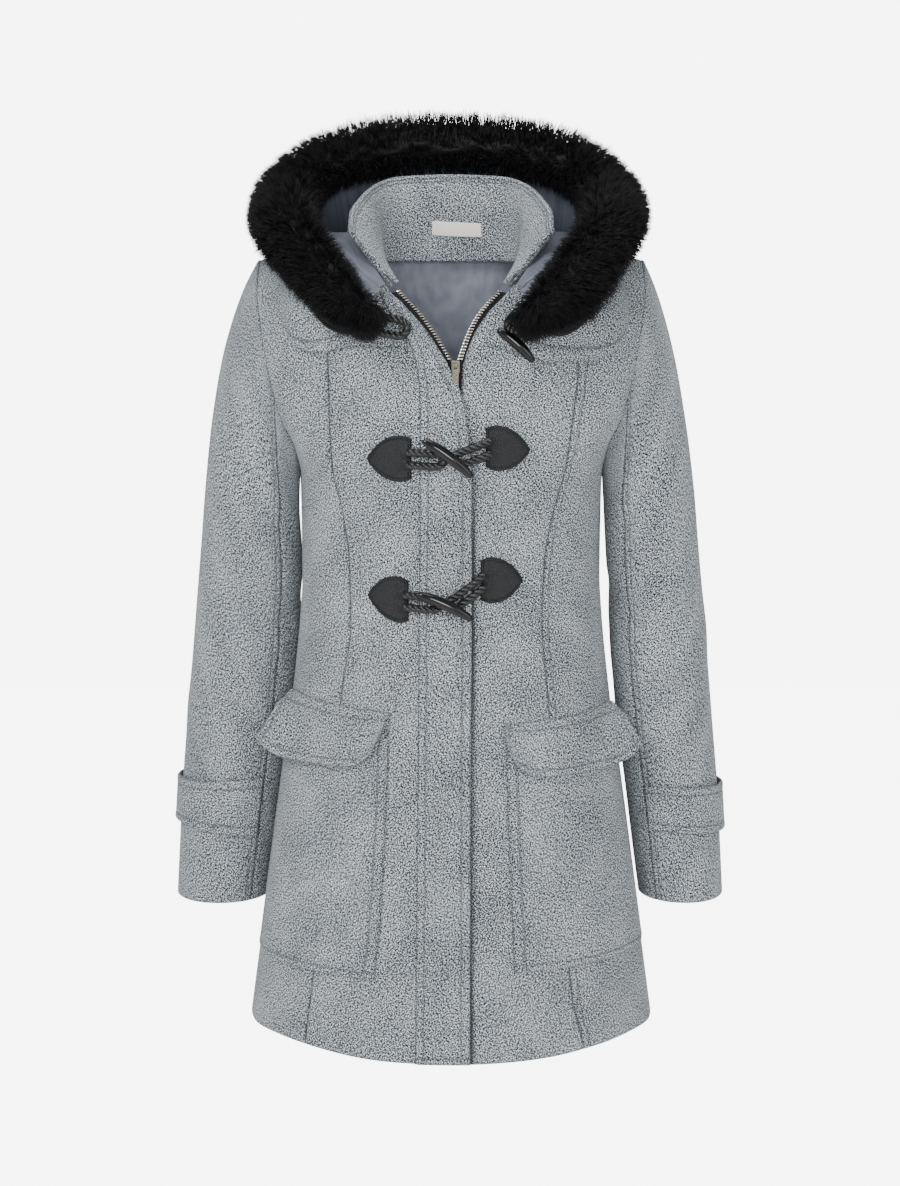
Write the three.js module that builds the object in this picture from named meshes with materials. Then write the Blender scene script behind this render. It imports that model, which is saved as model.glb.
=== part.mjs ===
import * as THREE from 'three';

// A women's duffle coat in grey wool, hollow, as it hangs on a wearer. Millimetres, +Z up, the
// front faces -Y. The origin is between the shoulders, level with the foot of the neck.

// Thickness of the cloths and the air between them
const WOOL = 2.2;
const SATIN = 1.0;
const LEATHER = 1.6;
const TAPE = 1.0;
const SEAM = 0.3;
const LINING_GAP = 1.2;
const LIFT = 0.9;
const YOKE_LIFT = 1.9;

// Shape of a body row: 1 is a plain oval, less is squarer
const SQUARE = 0.89;
const SHOULDER_DROP = 12;
const ARMPIT_DROP = 215;
const HEM_DROP = 747;
// How far the hem rises between the zip and the side seams
const HEM_RISE = 5;
const ARM_INSIDE = 70;
const ARM_LEVEL = -120;

// Hardware
const TEETH_WIDTH = 3.2;
const TEETH_THICK = 1.8;
const CORD_RADIUS = 3.5;
const CORD_SIDES = 7;
const TOGGLE_RADIUS = 5.2;
const PULL_LENGTH = 16;
const PULL_WIDTH = 5.6;
const PULL_THICK = 1.2;
const SLIDER_TOP = 103.8;
const SLIDER_BOTTOM = 115.5;
const SLIDER_BACK = -106.7;
const SLIDER_FRONT = -109.2;
const PIVOT_Y = -116;
const PIVOT_Z = -107.8;
const LABEL_WIDTH = 46;
const LABEL_HEIGHT = 13;

// Rows of the front, shoulder seam to hem. drop: depth of the row's outer end under the origin.
// in*: inner end at the neck, then the zip. out*: outer end at the armhole, then the side seam.
// round: 0 is straight, 1 a quarter of an oval. mid: how far the zip stands off the middle.
const FRONT = [
  { drop: 12, inX: 74, inY: 12, inZ: 5, outX: 184, outY: 14, round: 0, mid: 0 },
  { drop: 40, inX: 68, inY: -45, inZ: -16, outX: 184, outY: -22, round: 0.25, mid: 0 },
  { drop: 75, inX: 54, inY: -90, inZ: -41, outX: 179, outY: -45, round: 0.5, mid: -2 },
  { drop: 88, inX: 32, inY: -97, inZ: -64, outX: 177, outY: -51, round: 0.6, mid: -1 },
  { drop: 101, inX: 16, inY: -103, inZ: -88, outX: 174, outY: -55, round: 0.7, mid: 1.5 },
  { drop: 113, inX: 6, inY: -108, inZ: -113, outX: 172, outY: -57, round: 0.75, mid: 4 },
  { drop: 160, inX: 5, inY: -117, inZ: -160, outX: 160, outY: -52, round: 0.85, mid: 3.6 },
  { drop: 190, inX: 5, inY: -119, inZ: -190, outX: 147.5, outY: -35, round: 0.95, mid: 3 },
  { drop: 215, inX: 5, inY: -118, inZ: -215, outX: 145, outY: 0, round: 1, mid: 3 },
  { drop: 272, inX: 5, inY: -113, inZ: -272, outX: 144, outY: 0, round: 1, mid: 3 },
  { drop: 311, inX: 5, inY: -112, inZ: -311, outX: 143.6, outY: 0, round: 1, mid: 3 },
  { drop: 350, inX: 5, inY: -114, inZ: -350, outX: 145.8, outY: 0, round: 1, mid: 3 },
  { drop: 430, inX: 5, inY: -121, inZ: -430, outX: 154.3, outY: 0, round: 1, mid: 3 },
  { drop: 560, inX: 5, inY: -133, inZ: -560, outX: 172, outY: 0, round: 1, mid: 3 },
  { drop: 650, inX: 5, inY: -141, inZ: -653, outX: 184.3, outY: 0, round: 1, mid: 3 },
  { drop: 747, inX: 5, inY: -150, inZ: -757, outX: 197.6, outY: 0, round: 1, mid: 3 },
];

// Rows of the back, with the same columns
const BACK = [
  { drop: 12, inX: 74, inY: 12, inZ: 5, outX: 184, outY: 14, round: 0, mid: 0 },
  { drop: 40, inX: 50, inY: 52, inZ: 8, outX: 183, outY: 42, round: 0.2, mid: 0 },
  { drop: 75, inX: 0.2, inY: 67, inZ: 8, outX: 174, outY: 60, round: 0.3, mid: 0 },
  { drop: 101, inX: 0.2, inY: 83, inZ: -36, outX: 169, outY: 66, round: 0.5, mid: 0 },
  { drop: 113, inX: 0.2, inY: 90, inZ: -62, outX: 166, outY: 67, round: 0.6, mid: 0 },
  { drop: 160, inX: 0.2, inY: 101, inZ: -138, outX: 159, outY: 60, round: 0.8, mid: 0 },
  { drop: 190, inX: 0.2, inY: 103, inZ: -182, outX: 149, outY: 40, round: 0.95, mid: 0 },
  { drop: 215, inX: 0.2, inY: 102, inZ: -215, outX: 145, outY: 0, round: 1, mid: 0 },
  { drop: 272, inX: 0.2, inY: 95, inZ: -272, outX: 144, outY: 0, round: 1, mid: 0 },
  { drop: 311, inX: 0.2, inY: 90, inZ: -311, outX: 143.6, outY: 0, round: 1, mid: 0 },
  { drop: 350, inX: 0.2, inY: 92, inZ: -350, outX: 145.8, outY: 0, round: 1, mid: 0 },
  { drop: 430, inX: 0.2, inY: 103, inZ: -430, outX: 154.3, outY: 0, round: 1, mid: 0 },
  { drop: 560, inX: 0.2, inY: 118, inZ: -560, outX: 172, outY: 0, round: 1, mid: 0 },
  { drop: 650, inX: 0.2, inY: 128, inZ: -653, outX: 184.3, outY: 0, round: 1, mid: 0 },
  { drop: 747, inX: 0.2, inY: 138, inZ: -757, outX: 197.6, outY: 0, round: 1, mid: 0 },
];

// Rows the cloth is cut into, the same on the front and the back so their seams meet
const ARMHOLE_DROPS = [12, 26, 40, 57, 75, 88, 101, 113, 140, 165, 190, 215];
const SIDE_DROPS = [245, 280, 320, 370, 430, 500, 575, 660, 747];
const BODY_DROPS = ARMHOLE_DROPS.concat(SIDE_DROPS);

// Where the seam between the centre and the side of each front runs
const PRINCESS = [
  { drop: 12, left: 126, right: 126 },
  { drop: 75, left: 118, right: 120 },
  { drop: 113, left: 113, right: 117 },
  { drop: 160, left: 112, right: 112 },
  { drop: 205, left: 110, right: 106 },
  { drop: 245, left: 101, right: 95 },
  { drop: 290, left: 95, right: 87 },
  { drop: 350, left: 94, right: 85 },
  { drop: 408, left: 102, right: 90 },
  { drop: 560, left: 117, right: 103 },
  { drop: 690, left: 132, right: 113 },
  { drop: 747, left: 139, right: 126 },
];

// Soft hangs of the body cloth. side, half: the panel. across: how far round it. drop: its middle.
// wide, long: its reach. deep: outwards if over 0. lean: how it drifts round as it falls.
const BODY_FOLDS = [
  { side: -1, half: 'front', across: 0.86, drop: 262, wide: 0.07, long: 60, deep: -2.2, lean: -0.1 },
  { side: -1, half: 'front', across: 0.62, drop: 330, wide: 0.08, long: 90, deep: 1.2, lean: 0.06 },
  { side: -1, half: 'front', across: 0.74, drop: 640, wide: 0.09, long: 130, deep: 2.4, lean: 0.04 },
  { side: -1, half: 'front', across: 0.36, drop: 650, wide: 0.1, long: 120, deep: -1.8, lean: 0 },
  { side: 1, half: 'front', across: 0.88, drop: 275, wide: 0.06, long: 55, deep: -2, lean: -0.08 },
  { side: 1, half: 'front', across: 0.16, drop: 600, wide: 0.08, long: 160, deep: -2.4, lean: 0.04 },
  { side: 1, half: 'front', across: 0.48, drop: 690, wide: 0.1, long: 110, deep: 2, lean: 0.05 },
  { side: 1, half: 'front', across: 0.8, drop: 660, wide: 0.08, long: 120, deep: 2.2, lean: 0.03 },
  { side: -1, half: 'back', across: 0.7, drop: 300, wide: 0.12, long: 50, deep: -3, lean: 0.12 },
  { side: -1, half: 'back', across: 0.4, drop: 620, wide: 0.12, long: 150, deep: 4, lean: 0.03 },
  { side: -1, half: 'back', across: 0.8, drop: 640, wide: 0.1, long: 130, deep: -3, lean: 0.02 },
  { side: 1, half: 'back', across: 0.64, drop: 315, wide: 0.12, long: 55, deep: -3, lean: 0.1 },
  { side: 1, half: 'back', across: 0.3, drop: 640, wide: 0.12, long: 140, deep: -3, lean: 0.03 },
  { side: 1, half: 'back', across: 0.66, drop: 650, wide: 0.12, long: 150, deep: 4, lean: 0.02 },
];

// Sleeve rings under the armhole. out, in: the far and the near side of the left and the right
// ring. leftY, rightY: how far back each ring hangs.
const SLEEVE = [
  { drop: 236, leftOut: 237, leftIn: 146.4, leftY: 4, rightOut: 234, rightIn: 146.8, rightY: 2, deep: 52 },
  { drop: 290, leftOut: 243.6, leftIn: 145.2, leftY: 17, rightOut: 239.8, rightIn: 149.4, rightY: 3, deep: 52 },
  { drop: 345, leftOut: 249.6, leftIn: 145.8, leftY: 26, rightOut: 245.4, rightIn: 152.6, rightY: 4, deep: 51 },
  { drop: 400, leftOut: 254.8, leftIn: 149.6, leftY: 29, rightOut: 250.4, rightIn: 156, rightY: 5, deep: 50 },
  { drop: 460, leftOut: 260.6, leftIn: 156.8, leftY: 30, rightOut: 256, rightIn: 162.4, rightY: 7, deep: 49 },
  { drop: 520, leftOut: 266, leftIn: 165.2, leftY: 31, rightOut: 261.6, rightIn: 170.8, rightY: 8, deep: 49 },
  { drop: 580, leftOut: 270, leftIn: 173.6, leftY: 32, rightOut: 265.6, rightIn: 178.6, rightY: 9, deep: 48 },
  { drop: 636, leftOut: 273.6, leftIn: 181.6, leftY: 33, rightOut: 268.8, rightIn: 185.8, rightY: 10, deep: 48 },
];
const CAP_STEPS = [0, 0.12, 0.35, 0.68];
const CAP_BULGE = { left: 12, right: 8.5 };
const CUFF_LONGER = { left: 3, right: -3.5 };
const FRONT_SEAM = 8;
const BACK_SEAM = 6;

// Creases of a sleeve. turn: degrees round from the outer side over the front. slope: how much
// the crease falls for each degree.
const SLEEVE_FOLDS = [
  { side: -1, turn: 120, drop: 262, wide: 34, long: 16, deep: -3.4, slope: 0.5 },
  { side: -1, turn: 150, drop: 352, wide: 40, long: 15, deep: -3.6, slope: -0.35 },
  { side: -1, turn: 96, drop: 404, wide: 44, long: 17, deep: -2.8, slope: 0.4 },
  { side: -1, turn: 40, drop: 455, wide: 38, long: 22, deep: 2, slope: 0.3 },
  { side: 1, turn: 118, drop: 255, wide: 36, long: 17, deep: -3.2, slope: 0.5 },
  { side: 1, turn: 152, drop: 338, wide: 42, long: 15, deep: -3.6, slope: -0.4 },
  { side: 1, turn: 88, drop: 425, wide: 46, long: 18, deep: -2.6, slope: 0.35 },
  { side: 1, turn: 30, drop: 372, wide: 36, long: 24, deep: 1.8, slope: 0.25 },
  { side: -1, turn: 250, drop: 380, wide: 44, long: 18, deep: -3.4, slope: -0.3 },
  { side: 1, turn: 244, drop: 400, wide: 44, long: 18, deep: -3.4, slope: -0.3 },
];

// Cuff tabs, upper and lower edge at the front seam and at the outer side
const TABS = {
  left: { seamTop: 513, seamEnd: 572, outTop: 517, outEnd: 562 },
  right: { seamTop: 515, seamEnd: 560, outTop: 519, outEnd: 566 },
};

// Neck seam, and the collar's top edge above it, from the front end to the middle of the back
const NECK = [
  { at: 0, x: 54, y: -90, z: -40 },
  { at: 0.27, x: 68, y: -45, z: -15.6 },
  { at: 0.55, x: 74, y: 12, z: 5.4 },
  { at: 0.78, x: 50, y: 52, z: 8.4 },
  { at: 1, x: 0, y: 67, z: 8.4 },
];
const COLLAR_TOP = [
  { at: 0, x: 96.5, y: -55, z: 12 },
  { at: 0.16, x: 96.5, y: -32, z: 27 },
  { at: 0.36, x: 89, y: -4, z: 43 },
  { at: 0.58, x: 75, y: 32, z: 58 },
  { at: 0.76, x: 54, y: 56, z: 66 },
  { at: 1, x: 0, y: 69, z: 69 },
];

// The hood from the neck seam to the fur, front end to the middle of the back. low: the cloth
// next to the coat. foot, bend: the bottom of the bag. rise: the cloth behind it.
const HOOD = [
  { at: 0, lowX: 63.6, lowY: -103.4, lowZ: -38.5, footX: 63, footY: -104, footZ: -40.5,
    bendX: 64.5, bendY: -106.5, bendZ: -42.5, riseX: 66, riseY: -109, riseZ: -44.5 },
  { at: 0.2, lowX: 83, lowY: -73.2, lowZ: -20, footX: 85, footY: -75, footZ: -21,
    bendX: 85, bendY: -76, bendZ: -22, riseX: 89, riseY: -79, riseZ: -23 },
  { at: 0.4, lowX: 87, lowY: -19, lowZ: 4, footX: 96, footY: -24, footZ: 2,
    bendX: 105, bendY: -28, bendZ: 0, riseX: 114, riseY: -32, riseZ: -2 },
  { at: 0.6, lowX: 87, lowY: 28, lowZ: 13, footX: 101, footY: 34, footZ: 11,
    bendX: 114, bendY: 38, bendZ: 11, riseX: 128, riseY: 38, riseZ: 13 },
  { at: 0.7, lowX: 80, lowY: 58, lowZ: 8, footX: 93, footY: 76, footZ: -12,
    bendX: 108, bendY: 88, bendZ: -12, riseX: 124, riseY: 82, riseZ: 6 },
  { at: 0.82, lowX: 63, lowY: 87, lowZ: -22, footX: 76, footY: 100, footZ: -92,
    bendX: 92, bendY: 128, bendZ: -90, riseX: 112, riseY: 130, riseZ: -14 },
  { at: 1, lowX: 0, lowY: 101, lowZ: -56, footX: 0, footY: 112, footZ: -150,
    bendX: 0, bendY: 142, bendZ: -148, riseX: 0, riseY: 157, riseZ: -52 },
];

// The fur's middle line, with its reach outwards (wide) and upwards (tall). join: where the hood
// meets it, in degrees round from its outer side.
const FUR = [
  { at: 0, x: 66, y: -128, z: -68, wide: 20, tall: 17, join: -210 },
  { at: 0.12, x: 92, y: -129, z: -53, wide: 31, tall: 23, join: -205 },
  { at: 0.28, x: 128, y: -88, z: -16, wide: 34, tall: 26, join: -178 },
  { at: 0.45, x: 156, y: -28, z: 20, wide: 35, tall: 26, join: -145 },
  { at: 0.58, x: 159, y: 20, z: 39, wide: 35, tall: 27, join: -122 },
  { at: 0.74, x: 136, y: 72, z: 71, wide: 34, tall: 27, join: -92 },
  { at: 0.88, x: 76, y: 104, z: 94, wide: 30, tall: 27, join: -64 },
  { at: 1, x: 0, y: 114, z: 101, wide: 28, tall: 27, join: -55 },
];
const FUR_SHIFT = -2.5;

// Yokes, their lower edge from the front edge to the armhole side
const YOKES = {
  left: [
    { at: 0, x: 38, z: -92 },
    { at: 0.25, x: 62, z: -94 },
    { at: 0.5, x: 92, z: -93 },
    { at: 0.72, x: 122, z: -99 },
    { at: 0.87, x: 140, z: -95 },
    { at: 0.95, x: 150, z: -84 },
    { at: 1, x: 155, z: -66 },
  ],
  right: [
    { at: 0, x: 32, z: -90 },
    { at: 0.25, x: 60, z: -99 },
    { at: 0.5, x: 90, z: -107 },
    { at: 0.72, x: 124, z: -106 },
    { at: 0.87, x: 146, z: -101 },
    { at: 0.95, x: 158, z: -89 },
    { at: 1, x: 164, z: -68 },
  ],
};

// The zip cover: its sewn edge and its free edge, from the rounded top to the hem
const PLACKET = [
  { z: -42, sewn: -66, free: -58 },
  { z: -50, sewn: -62, free: -46 },
  { z: -64, sewn: -54, free: -35.5 },
  { z: -84, sewn: -40, free: -19 },
  { z: -103, sewn: -33, free: -5 },
  { z: -118, sewn: -30.5, free: 2 },
  { z: -133, sewn: -29, free: 9 },
  { z: -170, sewn: -28.5, free: 15.5 },
  { z: -222, sewn: -28.5, free: 19 },
  { z: -330, sewn: -29.5, free: 19 },
  { z: -500, sewn: -31, free: 18 },
  { z: -756.4, sewn: -33.5, free: 17.7 },
];

// Pocket flaps: upper edge on the front, lower edge standing off it
const FLAPS = {
  left: [
    { at: 0, topX: 56.5, topZ: -429, endX: 62, endZ: -447 },
    { at: 0.12, topX: 66, topZ: -427.8, endX: 76, endZ: -472 },
    { at: 0.25, topX: 80, topZ: -427, endX: 90, endZ: -481 },
    { at: 0.5, topX: 105, topZ: -425, endX: 122, endZ: -482.5 },
    { at: 0.75, topX: 130, topZ: -422, endX: 152, endZ: -481 },
    { at: 0.9, topX: 144, topZ: -421, endX: 171, endZ: -474 },
    { at: 1, topX: 150, topZ: -420, endX: 180, endZ: -463 },
  ],
  right: [
    { at: 0, topX: 48, topZ: -440, endX: 50, endZ: -457 },
    { at: 0.12, topX: 58, topZ: -439, endX: 60, endZ: -478 },
    { at: 0.25, topX: 74, topZ: -438, endX: 77, endZ: -489 },
    { at: 0.5, topX: 102, topZ: -436, endX: 112, endZ: -490 },
    { at: 0.75, topX: 129, topZ: -434, endX: 146, endZ: -487 },
    { at: 0.9, topX: 145, topZ: -432, endX: 167, endZ: -480 },
    { at: 1, topX: 152, topZ: -431, endX: 176, endZ: -468 },
  ],
};
const FLAP_HOLDS = 128;
const FLAP_SPREAD = 0.55;
const FLAP_STANDS = 7;

// Patch pockets, their inner edge from top to bottom
const POCKETS = {
  left: [
    { drop: 447, x: 57 },
    { drop: 560, x: 61.5 },
    { drop: 617, x: 65 },
    { drop: 676, x: 71.5 },
  ],
  right: [
    { drop: 455, x: 50 },
    { drop: 560, x: 54 },
    { drop: 617, x: 56.5 },
    { drop: 668, x: 58.6 },
  ],
};
const POCKET_END = 0.94;

// Leatherette patches: from the straight edge by the toggle (edge) to the tip
const PATCHES = [
  { name: 'patch_left_top', side: -1, edgeX: 90, edgeZ: -68, tipX: 124, tipZ: -62, half: 15 },
  { name: 'patch_right_top', side: 1, edgeX: 92, edgeZ: -70, tipX: 126, tipZ: -64, half: 15 },
  { name: 'patch_left_mid', side: -1, edgeX: 36, edgeZ: -193, tipX: 76, tipZ: -193, half: 21.3 },
  { name: 'patch_right_mid', side: 1, edgeX: 31.5, edgeZ: -182.5, tipX: 71.5, tipZ: -185, half: 20.8 },
  { name: 'patch_left_low', side: -1, edgeX: 39, edgeZ: -325, tipX: 76, tipZ: -320.5, half: 21.5 },
  { name: 'patch_right_low', side: 1, edgeX: 27, edgeZ: -305.5, tipX: 65.5, tipZ: -306, half: 21.5 },
];
const PATCH_SHAPE = [
  { at: 0, half: 0.86 },
  { at: 0.1, half: 0.94 },
  { at: 0.25, half: 1 },
  { at: 0.4, half: 0.97 },
  { at: 0.55, half: 0.89 },
  { at: 0.7, half: 0.73 },
  { at: 0.85, half: 0.47 },
  { at: 0.94, half: 0.27 },
  { at: 1, half: 0.08 },
];

// Cord loops: two strands from the patch (start) to a bend by the toggle (turn). high: how far
// the strands stand off the front at each end.
const LOOPS = [
  { name: 'cord_left_top', side: -1, startX: 88, startZ: -68, turnX: 39, turnZ: -76, gap: 15,
    startHigh: 8.4, turnHigh: 8.4 },
  { name: 'cord_right_top', side: 1, startX: 91.3, startZ: -69.5, turnX: 50, turnZ: -74, gap: 18,
    startHigh: 8.4, turnHigh: 8.4 },
  { name: 'cord_left_mid', side: -1, startX: 35, startZ: -192.5, turnX: 6.6, turnZ: -193.5, gap: 11.4,
    startHigh: 6, turnHigh: 7.6 },
  { name: 'cord_right_mid', side: 1, startX: 31.3, startZ: -184, turnX: 1.2, turnZ: -193, gap: 11.4,
    startHigh: 6, turnHigh: 7.6 },
  { name: 'cord_left_low', side: -1, startX: 38, startZ: -325, turnX: 9.4, turnZ: -327, gap: 11.4,
    startHigh: 6, turnHigh: 7.6 },
  { name: 'cord_right_low', side: 1, startX: 26, startZ: -309, turnX: -1.6, turnZ: -326, gap: 11.4,
    startHigh: 6, turnHigh: 7.6 },
];

// Toggles, from the blunt end to the tip. high: their middle line off the front.
const TOGGLES = [
  { name: 'toggle_top', fromX: 42.5, fromZ: -76, toX: 75, toZ: -105, high: 14.2 },
  { name: 'toggle_mid', fromX: -25.5, fromZ: -175, toX: 19, toZ: -208, high: 15.6 },
  { name: 'toggle_low', fromX: -30, fromZ: -316.5, toX: 19.5, toZ: -340, high: 15.7 },
];
const TOGGLE_SHAPE = [
  { at: 0, radius: 0.5 },
  { at: 0.06, radius: 0.68 },
  { at: 0.25, radius: 0.92 },
  { at: 0.5, radius: 1 },
  { at: 0.75, radius: 0.9 },
  { at: 0.94, radius: 0.62 },
  { at: 1, radius: 0.44 },
];

const COLOURS = {
  wool: { color: '#989da1', roughness: 0.95, metalness: 0 },
  satin: { color: '#7d808b', roughness: 0.45, metalness: 0 },
  fur: { color: '#0e0e0f', roughness: 0.9, metalness: 0 },
  leather: { color: '#3c4045', roughness: 0.6, metalness: 0 },
  cord: { color: '#17181a', roughness: 0.8, metalness: 0 },
  horn: { color: '#111214', roughness: 0.2, metalness: 0 },
  nickel: { color: '#c9c7c2', roughness: 0.3, metalness: 1 },
  tape: { color: '#141416', roughness: 0.9, metalness: 0 },
  label: { color: '#e6e4de', roughness: 0.7, metalness: 0 },
};

const coat = new THREE.Group();

function point(x, y, z) {
  return new THREE.Vector3(x, y, z);
}

function mix(a, b, t) {
  return a + (b - a) * t;
}

function ease(t) {
  const held = Math.min(1, Math.max(0, t));
  return held * held * (3 - 2 * held);
}

// A smooth line through one column of a table, with no overshoot between its rows
function track(table, key, column) {
  const xs = table.map((row) => row[key]);
  const ys = table.map((row) => row[column]);
  const grade = xs.slice(1).map((x, i) => (ys[i + 1] - ys[i]) / (x - xs[i]));
  const slope = xs.map((x, i) => {
    if (i === 0) {
      return grade[0];
    }
    if (i === xs.length - 1) {
      return grade[i - 1];
    }
    if (grade[i - 1] * grade[i] <= 0) {
      return 0;
    }
    return (2 * grade[i - 1] * grade[i]) / (grade[i - 1] + grade[i]);
  });
  const rising = xs[xs.length - 1] > xs[0];
  return (x) => {
    let i = 0;
    while (i < xs.length - 2 && (rising ? x > xs[i + 1] : x < xs[i + 1])) {
      i += 1;
    }
    const span = xs[i + 1] - xs[i];
    const t = Math.min(1, Math.max(0, (x - xs[i]) / span));
    const a = (1 + 2 * t) * (1 - t) * (1 - t);
    const b = t * (1 - t) * (1 - t);
    const c = t * t * (3 - 2 * t);
    const d = t * t * (t - 1);
    return a * ys[i] + b * span * slope[i] + c * ys[i + 1] + d * span * slope[i + 1];
  };
}

function tracks(table, key) {
  const found = {};
  Object.keys(table[0]).forEach((column) => {
    found[column] = track(table, key, column);
  });
  return found;
}

// A half table that runs on past the middle of the back as its own mirror image
function mirrored(table) {
  const before = table[table.length - 2];
  const past = { ...before, at: 2 - before.at };
  Object.keys(past).filter((column) => /x$/i.test(column)).forEach((column) => {
    past[column] = -past[column];
  });
  return tracks(table.concat([past]), 'at');
}

const BODY = { front: tracks(FRONT, 'drop'), back: tracks(BACK, 'drop') };
const ARM = tracks(SLEEVE, 'drop');
const PRINCESS_LINE = tracks(PRINCESS, 'drop');
const NECK_LINE = mirrored(NECK);
const TOP_LINE = mirrored(COLLAR_TOP);
const HOOD_LINE = mirrored(HOOD);
const FUR_LINE = mirrored(FUR);
const PLACKET_LINE = tracks(PLACKET, 'z');

function bell(t) {
  return Math.exp(-t * t);
}

function bodyFold(half, side, u, drop) {
  let sum = 0;
  BODY_FOLDS.forEach((fold) => {
    if (fold.half === half && fold.side === side) {
      const along = (drop - fold.drop) / fold.long;
      const across = (u - fold.across - fold.lean * along) / fold.wide;
      sum += fold.deep * bell(across) * bell(along);
    }
  });
  return sum * ease(u / 0.12) * ease((1 - u) / 0.08);
}

// The body's outer face without its folds
function hemRise(u, drop) {
  const round = Math.sin(Math.PI * Math.max(0, (u - 0.15) / 0.85));
  return HEM_RISE * round * round * ease((drop - 640) / (HEM_DROP - 640));
}

function bodyBase(half, side, u, drop) {
  const row = BODY[half];
  const round = row.round(drop);
  const turn = (Math.PI / 2) * Math.min(1, Math.max(0, u));
  const across = mix(u, Math.pow(Math.sin(turn), SQUARE), round);
  const around = mix(u, 1 - Math.pow(Math.max(0, Math.cos(turn)), SQUARE), round);
  return point(
    mix(side * row.inX(drop) + row.mid(drop), side * row.outX(drop), across),
    mix(row.inY(drop), row.outY(drop), around),
    mix(row.inZ(drop), -drop, u) + hemRise(u, drop),
  );
}

function armholeOut(side, at) {
  return at.clone().sub(point(side * ARM_INSIDE, 2, ARM_LEVEL)).normalize();
}

// The way out of the cloth, shared by both pieces at the shoulder seam and at the armhole
function bodyOut(half, side, u, drop) {
  const du = 0.004;
  const dd = 0.5;
  const a = bodyBase(half, side, Math.max(0.001, u - du), drop);
  const b = bodyBase(half, side, Math.min(0.999, u + du), drop);
  const c = bodyBase(half, side, u, Math.max(SHOULDER_DROP, drop - dd));
  const d = bodyBase(half, side, u, Math.min(HEM_DROP, drop + dd));
  const out = b.sub(a).cross(d.sub(c)).normalize();
  const here = bodyBase(half, side, u, drop);
  const away = half === 'front' ? -1 : 1;
  if (out.dot(point(here.x * 0.6, away * 90, 60)) < 0) {
    out.negate();
  }
  if (half === 'back' && drop > 70) {
    out.x *= ease(u / 0.12);
  }
  const shoulder = 1 - ease((drop - SHOULDER_DROP) / 26);
  out.lerp(point(side * 0.2, 0, 1), shoulder).normalize();
  const arm = ease((u - 0.82) / 0.18) * (1 - ease((drop - ARMPIT_DROP) / 40));
  out.lerp(armholeOut(side, bodyBase(half, side, 1, Math.min(drop, ARMPIT_DROP))), arm);
  return out.normalize();
}

function bodyPoint(half, side, u, drop, lift) {
  const out = bodyOut(half, side, u, drop);
  return bodyBase(half, side, u, drop).addScaledVector(out, bodyFold(half, side, u, drop) + lift);
}

function rowLength(half, side, drop) {
  return 1.2 * bodyBase(half, side, 0, drop).distanceTo(bodyBase(half, side, 1, drop));
}

// How far round the front row the given width is
function acrossAt(side, x, drop) {
  let low = 0;
  let high = 1;
  for (let i = 0; i < 30; i += 1) {
    const middle = (low + high) / 2;
    if (side * bodyBase('front', side, middle, drop).x < x) {
      low = middle;
    } else {
      high = middle;
    }
  }
  return (low + high) / 2;
}

// Place on the front under a point of the front view
function frontPlace(side, x, z) {
  let low = SHOULDER_DROP;
  let high = HEM_DROP;
  for (let i = 0; i < 30; i += 1) {
    const middle = (low + high) / 2;
    if (bodyBase('front', side, acrossAt(side, x, middle), middle).z > z) {
      low = middle;
    } else {
      high = middle;
    }
  }
  const drop = (low + high) / 2;
  return { u: acrossAt(side, x, drop), drop };
}

function frontPoint(x, z, lift) {
  const side = x < BODY.front.mid(Math.max(SHOULDER_DROP, -z)) ? -1 : 1;
  const place = frontPlace(side, Math.max(0, side * x), z);
  const found = bodyPoint('front', side, place.u, place.drop, lift);
  if (place.u < 0.002) {
    found.x = x;
    found.z = z;
  }
  return found;
}

function addMesh(name, positions, index, finish) {
  let volume = 0;
  const a = point(0, 0, 0);
  const b = point(0, 0, 0);
  const c = point(0, 0, 0);
  for (let i = 0; i < index.length; i += 3) {
    a.fromArray(positions, 3 * index[i]);
    b.fromArray(positions, 3 * index[i + 1]);
    c.fromArray(positions, 3 * index[i + 2]);
    volume += a.dot(b.cross(c));
  }
  if (volume < 0) {
    for (let i = 0; i < index.length; i += 3) {
      const kept = index[i];
      index[i] = index[i + 1];
      index[i + 1] = kept;
    }
  }
  const geometry = new THREE.BufferGeometry();
  geometry.setAttribute('position', new THREE.Float32BufferAttribute(positions, 3));
  geometry.setIndex(index);
  geometry.computeVertexNormals();
  const mesh = new THREE.Mesh(geometry, new THREE.MeshStandardMaterial(COLOURS[finish]));
  mesh.name = name;
  coat.add(mesh);
}

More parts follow.
